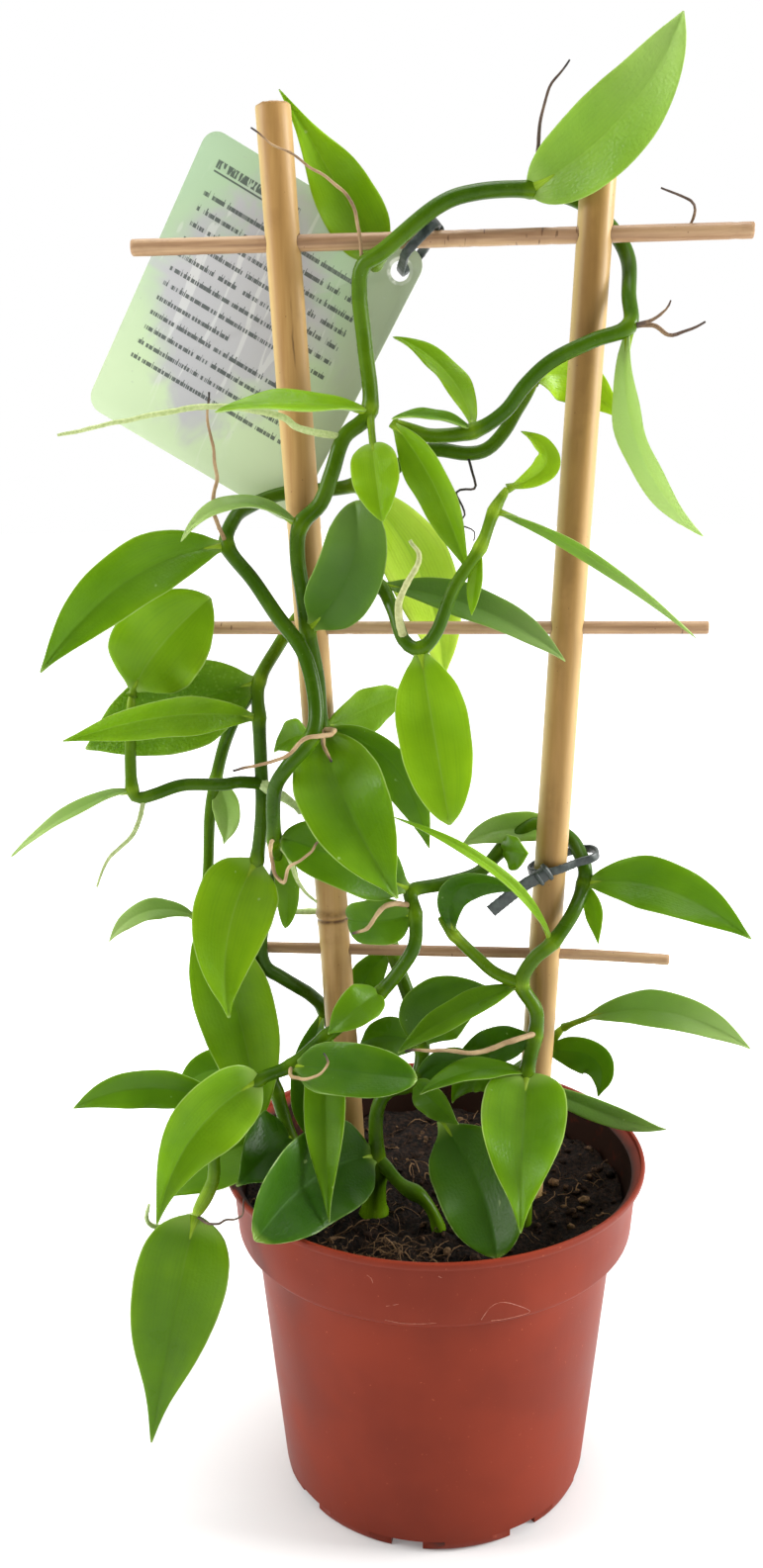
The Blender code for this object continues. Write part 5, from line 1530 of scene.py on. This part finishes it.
TALL = Vine(
    node="vine_tall",
    base=3.2,
    knees=(((-14, -15, 103), 1.1), ((-4, -20, 100), 0.8), ((3, -22, 90), 0.5), ((-16, -13, 88), 1.4)),
    routes=(
        (
            (-16, -13, 68), (-16, -13, 88), (-15, -15, 108), (-15, -13, 120), (-12, -11, 126), (-5, -9, 128),
            (-3, -4, 136), (-7, 3, 148), (-12, 7, 161), (-15, 6, 177), (-19, 0, 194), (-24, -7, 211),
            (-28, -8, 226), (-29, -8, 239), (-31, -8, 251), (-32, -8, 260), (-33, -8, 269), (-32, -8, 276),
            (-27, -8, 281), (-24, -8, 288), (-21, -7, 296), (-15, -5, 302), (-16, -4, 316), (-17, -5, 327),
            (-16, -6, 333), (-11, -7, 336), (1, -5, 345), (10, -3, 348), (22, 2, 349), (31, 7, 348),
            (37, 8, 345), (42, 7, 340), (45, 4, 334), (45, -3, 326), (45, -7, 319), (37, -9, 316),
            (28, -9, 312), (22, -9, 307), (17, -9, 301), (10, -8, 297), (1, -8, 296), (-4, -9, 297),
            (-9, -11, 299),
        ),
        ((-15, -15, 108), (-8, -19, 102), (-1, -21, 98), (3, -22, 89), (4, -22, 73)),
        (
            (-32, -8, 260), (-22, -8, 262), (-13, -11, 262), (-9, -16, 257), (-6, -20, 250), (-2, -21, 248),
            (2, -21, 252), (6, -20, 262), (12, -18, 271), (15, -14, 279), (18, -12, 284),
        ),
        ((-11, -7, 336), (-13, -3, 334), (-14, 2, 334), (-14, 5, 335)),
    ),
    leaves=(
        Leaf((0, 28), (42, -10, 361), (53, -14, 379), 18, -8, Outline.EGG, 0.62, speck=0.25, pale=0.35),
        Leaf((3, 3), (-24, 9, 353), (-36, 6, 372), 16, 10, Outline.HEART, 0.66),
        Leaf((0, 21), (-30, -18, 303), (-48, -26, 302), 10, 62, Outline.SLIM, 0.68),
        Leaf((0, 39), (3, 2, 310), (-10, 4, 319), 8, 40, Outline.SLIM, 0.74),
        Leaf((0, 39), (1, -12, 300), (-9, -14, 300), 5, 60, Outline.SLIM, 0.45),
        Leaf((0, 17), (-47, -13, 281), (-60, -17, 273), 7, 60, Outline.SLIM, 0.48, pale=0.7),
        Leaf((0, 34), (48, -10, 294), (63, -18, 273), 10, 45, Outline.SLIM, 0.80, pale=1.5),
        Leaf((0, 12), (-20, -22, 209), (-7, -30, 188), 24, 0, Outline.OVAL, 0.50),
        Leaf((0, 12), (-10, -8, 217), (-1, -6, 194), 13, 30, Outline.SLIM, 0.42),
        Leaf((0, 12), (-17, 2, 230), (-8, 8, 233), 13, 30, Outline.OVAL, 0.66),
        Leaf((0, 14), (-19, -16, 266), (-18, -14, 282), 17, 0, Outline.PAD, 0.22, pale=0.10),
        Leaf((0, 42), (1, -13, 285), (9, -13, 265), 11, 25, Outline.SLIM, 0.64),
        Leaf((0, 21), (-13, -14, 290), (-11, -18, 277), 12, 8, Outline.EGG, 0.74, stalk=0.32),
        Leaf((0, 5), (12, -26, 110), (19, -43, 95), 23, 5, Outline.PAD, 0.20, stalk=0.2),
        Leaf((0, 2), (-29, -35, 112), (-41, -57, 106), 26, -8, Outline.PAD, 0.06),
        Leaf((0, 5), (1, -18, 127), (8, -22, 122), 9, 20, Outline.OVAL, 0.34),
        Leaf((0, 6), (2, -3, 148), (18, -4, 154), 19, 5, Outline.OVAL, 0.30),
        Leaf((0, 6), (-12, 2, 137), (-22, 7, 132), 12, 0, Outline.OVAL, 0.32),
        Leaf((0, 8), (-20, 10, 151), (-23, 9, 138), 10, 0, Outline.SLIM, 0.38),
        Leaf((0, 5), (5, -9, 135), (14, -9, 134), 8, 10, Outline.OVAL, 0.15),
        Leaf((2, 10), (27, -10, 290), (21, -7, 297), 7, 30, Outline.SLIM, 0.86),
        Leaf((2, 9), (38, -20, 269), (62, -26, 251), 4, 40, Outline.SLIM, 0.52, pale=0.3),
        Leaf((2, 5), (2, -28, 228), (6, -34, 208), 18, 0, Outline.BLUNT, 0.68),
        Leaf((2, 8), (11, -18, 263), (10, -15, 255), 4, 20, Outline.SLIM, 0.70),
        Leaf((2, 2), (12, -10, 256), (33, -12, 244), 10, -25, Outline.SLIM, 0.20, pale=0.25),
    ),
    roots=(
        Root((
            (-16, -6, 333), (-17, -7, 342), (-20, -8, 348), (-28, -9, 354), (-36, -10, 358), (-40, -11, 361),
        ), radius=0.38, dark=0.15),
        Root(((23, 2, 350), (24, 2, 362), (26, 1, 369), (30, 0, 374)), radius=0.45, dark=0.7),
        Root((
            (42, 7, 340), (51, 5, 340), (57, 4, 340), (59, 1, 342), (58, -1, 345), (51, -2, 348),
        ), radius=0.42, dark=0.6),
        Root((
            (45, -7, 319), (50, -8, 319), (54, -9, 317), (57, -10, 317), (62, -10, 319),
        ), radius=0.5, dark=0.5),
        Root(((45, -7, 319), (50, -9, 320), (53, -10, 322), (54, -10, 324)), radius=0.42, dark=0.6),
        Root(((-28, -8, 226), (-27, -15, 225), (-26, -18, 223), (-24, -20, 220)), radius=0.65),
        Root((
            (-28, -8, 226), (-24, -15, 227), (-25, -22, 227), (-29, -25, 227), (-31, -26, 226),
            (-34, -26, 223), (-39, -26, 221), (-43, -26, 220), (-48, -25, 219),
        ), radius=0.62),
        Root((
            (-15, 6, 175), (-20, 7, 173), (-26, 7, 172), (-33, 7, 172), (-41, 6, 172),
        ), radius=1.3, green=1.0),
        Root((
            (-21, -7, 296), (-31, -12, 298), (-36, -14, 301), (-51, -19, 303), (-69, -25, 300),
            (-84, -29, 297),
        ), radius=0.75, green=0.85),
        Root((
            (-6, -20, 250), (-7, -23, 257), (-6, -24, 261), (-2, -24, 269), (-4, -23, 273),
        ), radius=0.9, green=0.6),
    ),
)
LEFT = Vine(
    node="vine_left",
    routes=(
        (
            (-33, 11, 66), (-33, 11, 88), (-31, 10, 112), (-29, 10, 130), (-32, 8, 142), (-35, 4, 148),
            (-38, 0, 152), (-42, -3, 156), (-46, -5, 160), (-47, -5, 167), (-45, -3, 176), (-42, -2, 187),
            (-40, -16, 199), (-39, -19, 212), (-35, -22, 219), (-29, -21, 226), (-28, -18, 234),
            (-31, -15, 246), (-38, -12, 255), (-44, -9, 263), (-51, -5, 271), (-50, -1, 277), (-47, 4, 280),
            (-39, 9, 283), (-26, 8, 284), (-20, 6, 285), (-13, 3, 287), (-6, 1, 291), (0, 0, 293),
            (8, 0, 292), (13, 0, 293), (17, 1, 297), (20, 2, 302), (24, 2, 308),
        ),
    ),
    leaves=(
        Leaf((0, 20), (-73, -17, 264), (-94, -27, 243), 16, 8, Outline.SLIM, 0.47),
        Leaf((0, 15), (-34, -12, 225), (-41, -8, 220), 9, 15, Outline.OVAL, 0.50),
        Leaf((0, 33), (33, 10, 309), (46, 10, 299), 12, 0, Outline.OVAL, 0.92),
        Leaf((0, 25), (-4, 9, 263), (2, 10, 236), 18, -8, Outline.SLIM, 1.18),
        Leaf((0, 4), (-36, 1, 121), (-33, -2, 103), 11, 20, Outline.SLIM, 0.22),
        Leaf((0, 12), (-39, -5, 185), (-40, -5, 171), 7, 10, Outline.PAD, 0.50),
    ),
    roots=(
        Root((
            (-51, -5, 271), (-53, -10, 280), (-51, -13, 289), (-52, -15, 300), (-51, -17, 306),
        ), radius=0.5, dark=0.1),
        Root((
            (8, 0, 292), (10, -4, 286), (10, -5, 284), (6, -6, 283), (8, -6, 278), (6, -7, 276),
            (10, -7, 274), (10, -7, 272),
        ), radius=0.3, dark=1.0),
        Root((
            (-40, -16, 199), (-40, -20, 199), (-40, -21, 195), (-39, -21, 191), (-37, -22, 189),
            (-36, -23, 191), (-35, -24, 194), (-32, -24, 196), (-29, -24, 198), (-28, -24, 200),
            (-27, -24, 201), (-28, -23, 203),
        ), radius=0.5),
        Root((
            (-40, -16, 199), (-37, -12, 193), (-36, -9, 187), (-34, -7, 182), (-31, -6, 179),
        ), radius=0.7, green=0.9),
    ),
)
RIGHT = Vine(
    node="vine_right",
    routes=(
        (
            (26, -15, 66), (26, -15, 88), (26, -17, 122), (26, -14, 134), (28, -11, 144), (28, -10, 151),
            (24, -9, 158), (27, -9, 165), (32, -9, 170), (37, -6, 177), (40, 1, 183), (40, 2, 188),
            (37, 8, 193), (32, 9, 196), (26, 7, 198), (18, 2, 192), (12, -3, 187), (3, -7, 185),
            (-5, -11, 184), (-4, -14, 179), (-4, -16, 171), (-8, -17, 164), (-13, -18, 158), (-20, -20, 152),
            (-27, -22, 147), (-36, -26, 140), (-44, -29, 137), (-51, -31, 130), (-56, -33, 119),
            (-57, -34, 109), (-62, -35, 99),
        ),
        ((24, -9, 158), (17, -9, 161), (12, -8, 165), (6, -8, 171), (2, -8, 176)),
        ((26, -17, 122), (20, -7, 123), (22, 5, 125), (30, 10, 130), (36, 7, 139)),
    ),
    leaves=(
        Leaf((0, 10), (60, -8, 185), (81, -20, 176), 15, -10, Outline.SLIM, 0.42),
        Leaf((0, 3), (25, -35, 122), (25, -50, 107), 24, 0, Outline.HEART, 0.46),
        Leaf((0, 3), (12, -20, 137), (-2, -28, 134), 9, 45, Outline.SLIM, 0.36),
        Leaf((0, 6), (7, -14, 151), (-9, -16, 140), 9, 30, Outline.SLIM, 0.46),
        Leaf((0, 13), (17, 3, 197), (7, 0, 193), 9, 10, Outline.BROAD, 0.50, pale=0.5),
        Leaf((1, 3), (8, -13, 186), (25, -13, 185), 9, 25, Outline.SLIM, 0.18),
        Leaf((0, 15), (22, -7, 194), (25, -10, 194), 10, 20, Outline.SLIM, 0.50),
        Leaf((0, 8), (17, -16, 191), (-9, -22, 207), 4, 35, Outline.SLIM, 0.64),
        Leaf((0, 10), (43, -1, 177), (44, -4, 168), 6, 30, Outline.SLIM, 0.60),
        Leaf((0, 22), (-18, -26, 157), (-26, -28, 150), 11, 10, Outline.OVAL, 0.40),
        Leaf((0, 25), (-19, -33, 142), (-2, -36, 142), 15, -10, Outline.PAD, 0.27),
        Leaf((0, 26), (-60, -42, 126), (-69, -48, 103), 20, -15, Outline.HEART, 0.54),
        Leaf((0, 27), (-73, -34, 136), (-93, -36, 130), 11, -15, Outline.SLIM, 0.40),
        Leaf((0, 30), (-68, -44, 71), (-76, -46, 32), 26, 0, Outline.HEART, 0.47),
        Leaf((2, 4), (60, -8, 151), (84, -16, 144), 11, -12, Outline.SLIM, 0.38, pale=0.35, stalk=0.12),
        Leaf((2, 3), (45, 4, 131), (46, 2, 120), 12, 30, Outline.OVAL, 0.30),
        Leaf((2, 2), (48, 11, 111), (66, 5, 109), 7, 10, Outline.SLIM, 0.26, pale=0.3),
        Leaf((2, 1), (12, -4, 128), (5, -1, 118), 9, 0, Outline.SLIM, 0.45),
        Leaf((0, 18), (-22, -17, 194), (-38, -18, 200), 17, 10, Outline.PAD, 0.34),
        Leaf((0, 19), (-14, -15, 177), (-23, -8, 175), 13, -15, Outline.PAD, 0.36),
        Leaf((0, 4), (17, -4, 138), (6, -5, 134), 11, -10, Outline.OVAL, 0.18),
        Leaf((0, 24), (-26, -34, 123), (-24, -47, 106), 12, 12, Outline.HEART, 0.42),
    ),
    roots=(
        Root((
            (28, -12, 145), (23, -16, 145), (17, -18, 143), (13, -19, 142), (3, -20, 143), (-6, -21, 143),
        ), radius=0.72),
        Root((
            (-36, -26, 140), (-35, -32, 140), (-30, -39, 142), (-26, -41, 145), (-24, -41, 148),
            (-25, -40, 150),
        ), radius=0.5),
        Root((
            (-62, -35, 99), (-57, -39, 99), (-51, -43, 103), (-47, -46, 106), (-46, -47, 112),
        ), radius=0.35, dark=0.6),
        Root((
            (-62, -35, 99), (-66, -32, 96), (-71, -33, 94), (-74, -36, 96), (-75, -37, 99), (-74, -37, 103),
        ), radius=0.9, green=1.0),
        Root((
            (-5, -13, 181), (-10, -19, 183), (-13, -20, 181), (-16, -21, 177), (-20, -20, 175),
        ), radius=0.7),
    ),
)
LOW = Vine(
    node="vine_low",
    routes=(
        (
            (-35, -14, 66), (-35, -14, 88), (-36, -13, 99), (-40, -10, 110), (-44, -6, 122), (-49, -3, 136),
            (-51, -4, 149), (-52, -6, 163), (-50, -6, 176), (-47, -5, 190), (-45, -5, 204), (-45, -4, 218),
            (-45, -4, 228), (-45, -2, 237), (-41, 5, 245), (-37, 8, 251), (-33, 10, 256),
        ),
        (
            (-45, -2, 237), (-52, 3, 228), (-56, 4, 220), (-59, 4, 210), (-61, 3, 200), (-62, 0, 183),
            (-64, -6, 174),
        ),
        (
            (-45, -5, 211), (-50, -8, 212), (-54, -11, 212), (-64, -12, 212), (-71, -14, 210),
            (-75, -14, 209), (-77, -14, 211), (-77, -13, 222), (-76, -12, 235),
        ),
    ),
    leaves=(
        Leaf((0, 13), (-66, -5, 231), (-91, -7, 220), 24, -5, Outline.SLIM, 0.50, speck=1.0),
        Leaf((0, 12), (-65, -18, 231), (-88, -32, 227), 11, -18, Outline.SLIM, 0.58, speck=0.3),
        Leaf((0, 9), (-53, -18, 173), (-52, -26, 153), 22, 0, Outline.BROAD, 0.66),
        Leaf((0, 3), (-42, -24, 114), (-50, -36, 109), 20, 0, Outline.OVAL, 0.08),
        Leaf((0, 4), (-60, -4, 128), (-73, -7, 121), 13, 10, Outline.OVAL, 0.40),
        Leaf((0, 3), (-58, -19, 109), (-74, -28, 99), 22, 14, Outline.OVAL, 0.42),
        Leaf((1, 6), (-76, -11, 177), (-86, -16, 170), 7, 30, Outline.SLIM, 0.44, pale=0.8),
        Leaf((1, 6), (-53, -9, 146), (-48, -16, 113), 23, 5, Outline.OVAL, 0.60),
        Leaf((1, 3), (-56, 3, 201), (-57, 0, 193), 8, 10, Outline.OVAL, 0.60, pale=1.1),
        Leaf((2, 8), (-68, -12, 247), (-55, -9, 259), 24, -5, Outline.BLUNT, 0.66, stalk=0.06),
        Leaf((2, 6), (-90, -20, 207), (-107, -26, 196), 6, 55, Outline.SLIM, 0.50, pale=0.8),
    ),
    roots=(
        Root(((-74, -14, 209), (-76, -18, 201), (-83, -20, 194), (-86, -22, 187)), radius=0.62, green=0.9),
        Root(((-45, -5, 211), (-39, -7, 208), (-36, -5, 205), (-35, -4, 203)), radius=1.5, green=1.0),
    ),
)
VINES = (TALL, LEFT, RIGHT, LOW)


@dataclass
class Studio:
    """Pale floor, soft light and the camera at the photograph's angle, in metres and radians."""

    eye: Point = (0.022, -0.351, 0.291)
    pitch: float = 0.332
    yaw: float = -0.103
    roll: float = -0.013
    sensor: float = 36.0
    reach: float = 1380.6
    frame_height: float = 1585.0
    rise: float = 147.5
    lamps: Sequence[tuple[str, Point, Point, float, float]] = (
        ("window_left", (-1.2, -0.25, 0.75), (0.0, 0.0, 0.20), 0.55, 13.5),
        ("window_right", (1.25, 0.05, 0.60), (0.0, 0.0, 0.15), 0.50, 25.0),
        ("ceiling", (0.0, 0.15, 1.4), (0.0, 0.0, 0.1), 0.7, 13.0),
    )

    def camera(self) -> None:
        """Places the camera; its lens and its shift are measured on the photograph in pixels."""
        data = bpy.data.cameras.new("camera")
        data.sensor_fit = "VERTICAL"
        data.sensor_height = self.sensor
        data.lens = self.sensor * self.reach / self.frame_height
        data.shift_y = self.rise / self.frame_height
        data.clip_start = 0.01
        level = Vector((math.sin(self.yaw), math.cos(self.yaw), 0.0)) * math.cos(self.pitch)
        forward = level - Vector((0.0, 0.0, math.sin(self.pitch)))
        right = Vector((math.cos(self.yaw), -math.sin(self.yaw), 0.0))
        up = right.cross(forward)
        side = math.cos(self.roll) * right + math.sin(self.roll) * up
        above = math.cos(self.roll) * up - math.sin(self.roll) * right
        obj = linked("camera", data)
        turn = Matrix((side, above, -forward)).transposed().to_4x4()
        obj.matrix_world = Matrix.Translation(self.eye) @ turn
        bpy.context.scene.camera = obj

    def lamp(self, name: str, place: Point, aim: Point, size: float, power: float) -> None:
        """Adds a square soft light.

        Args:
            name: Its name.
            place: Where it stands.
            aim: What it faces.
            size: Its side.
            power: Its power in watts.
        """
        data = bpy.data.lights.new(name, "AREA")
        data.size = size
        data.energy = power
        obj = linked(name, data)
        obj.location = place
        obj.rotation_mode = "QUATERNION"
        obj.rotation_quaternion = (Vector(aim) - Vector(place)).to_track_quat("-Z", "Y")

    def ground(self) -> None:
        """Makes the floor, which glows softly away from the pot."""
        bm = bmesh.new()
        bmesh.ops.create_circle(bm, cap_ends=True, segments=64, radius=6.0)
        mesh = bpy.data.meshes.new("floor")
        bm.to_mesh(mesh)
        bm.free()
        floor = linked("floor", mesh)
        r = Recipe("floor_white")
        apart = r.add("ShaderNodeVectorMath", {0: r.place}, "Value", operation="LENGTH")
        grey = r.ramp(r.noise(3), (0.0, (0.62, 0.62, 0.62)), (1.0, (0.66, 0.66, 0.66)))
        mesh.materials.append(r.finish(
            Base_Color=grey, Roughness=0.7, Emission_Color=(1.0, 1.0, 1.0),
            Emission_Strength=apart.span(0.05, 0.32, 0.16, 0.85),
        ))

    def surround(self) -> None:
        """Makes the white surround, a little dimmer on the viewer's side and even where it is seen."""
        r = Recipe("surround", world=True)
        seen = r.add("ShaderNodeLightPath", output="Is Camera Ray")
        _, depth, _ = r.axes(r.place.output("Generated"))
        strength = r.add("ShaderNodeMix", {0: seen, 2: depth.span(-1.0, -0.1, 0.12, 1.05), 3: 1.0})
        tint = r.mix(seen, (1.0, 0.985, 0.95), (1.0, 1.0, 1.0))
        bpy.context.scene.world = r.finish(Color=tint, Strength=strength)

    def build(self) -> None:
        """Sets up camera, room and lights."""
        self.camera()
        self.ground()
        self.surround()
        for lamp in self.lamps:
            self.lamp(*lamp)
        view = bpy.context.scene.view_settings
        view.view_transform = "Standard"
        view.look = "None"
        view.exposure = 0.0


def main() -> None:
    """Builds the studio and every sub-assembly, and reports each piece."""
    logging.basicConfig(level=logging.INFO, format="%(name)s: %(message)s")
    noise.seed_set(SWAY_SEED)
    Studio().build()
    pieces = [*Pot().build(), *Soil().build(), *Ladder().build(), Card().build(), *Ties().build()]
    stem, leaf, root = StemSkin().make(), LeafSkin().make(), RootSkin().make()
    for vine in VINES:
        pieces += vine.build(stem, leaf, root)
    for piece in pieces:
        LOG.info("%s: %d faces", piece.name, len(piece.data.polygons))


if __name__ == "__main__":
    main()
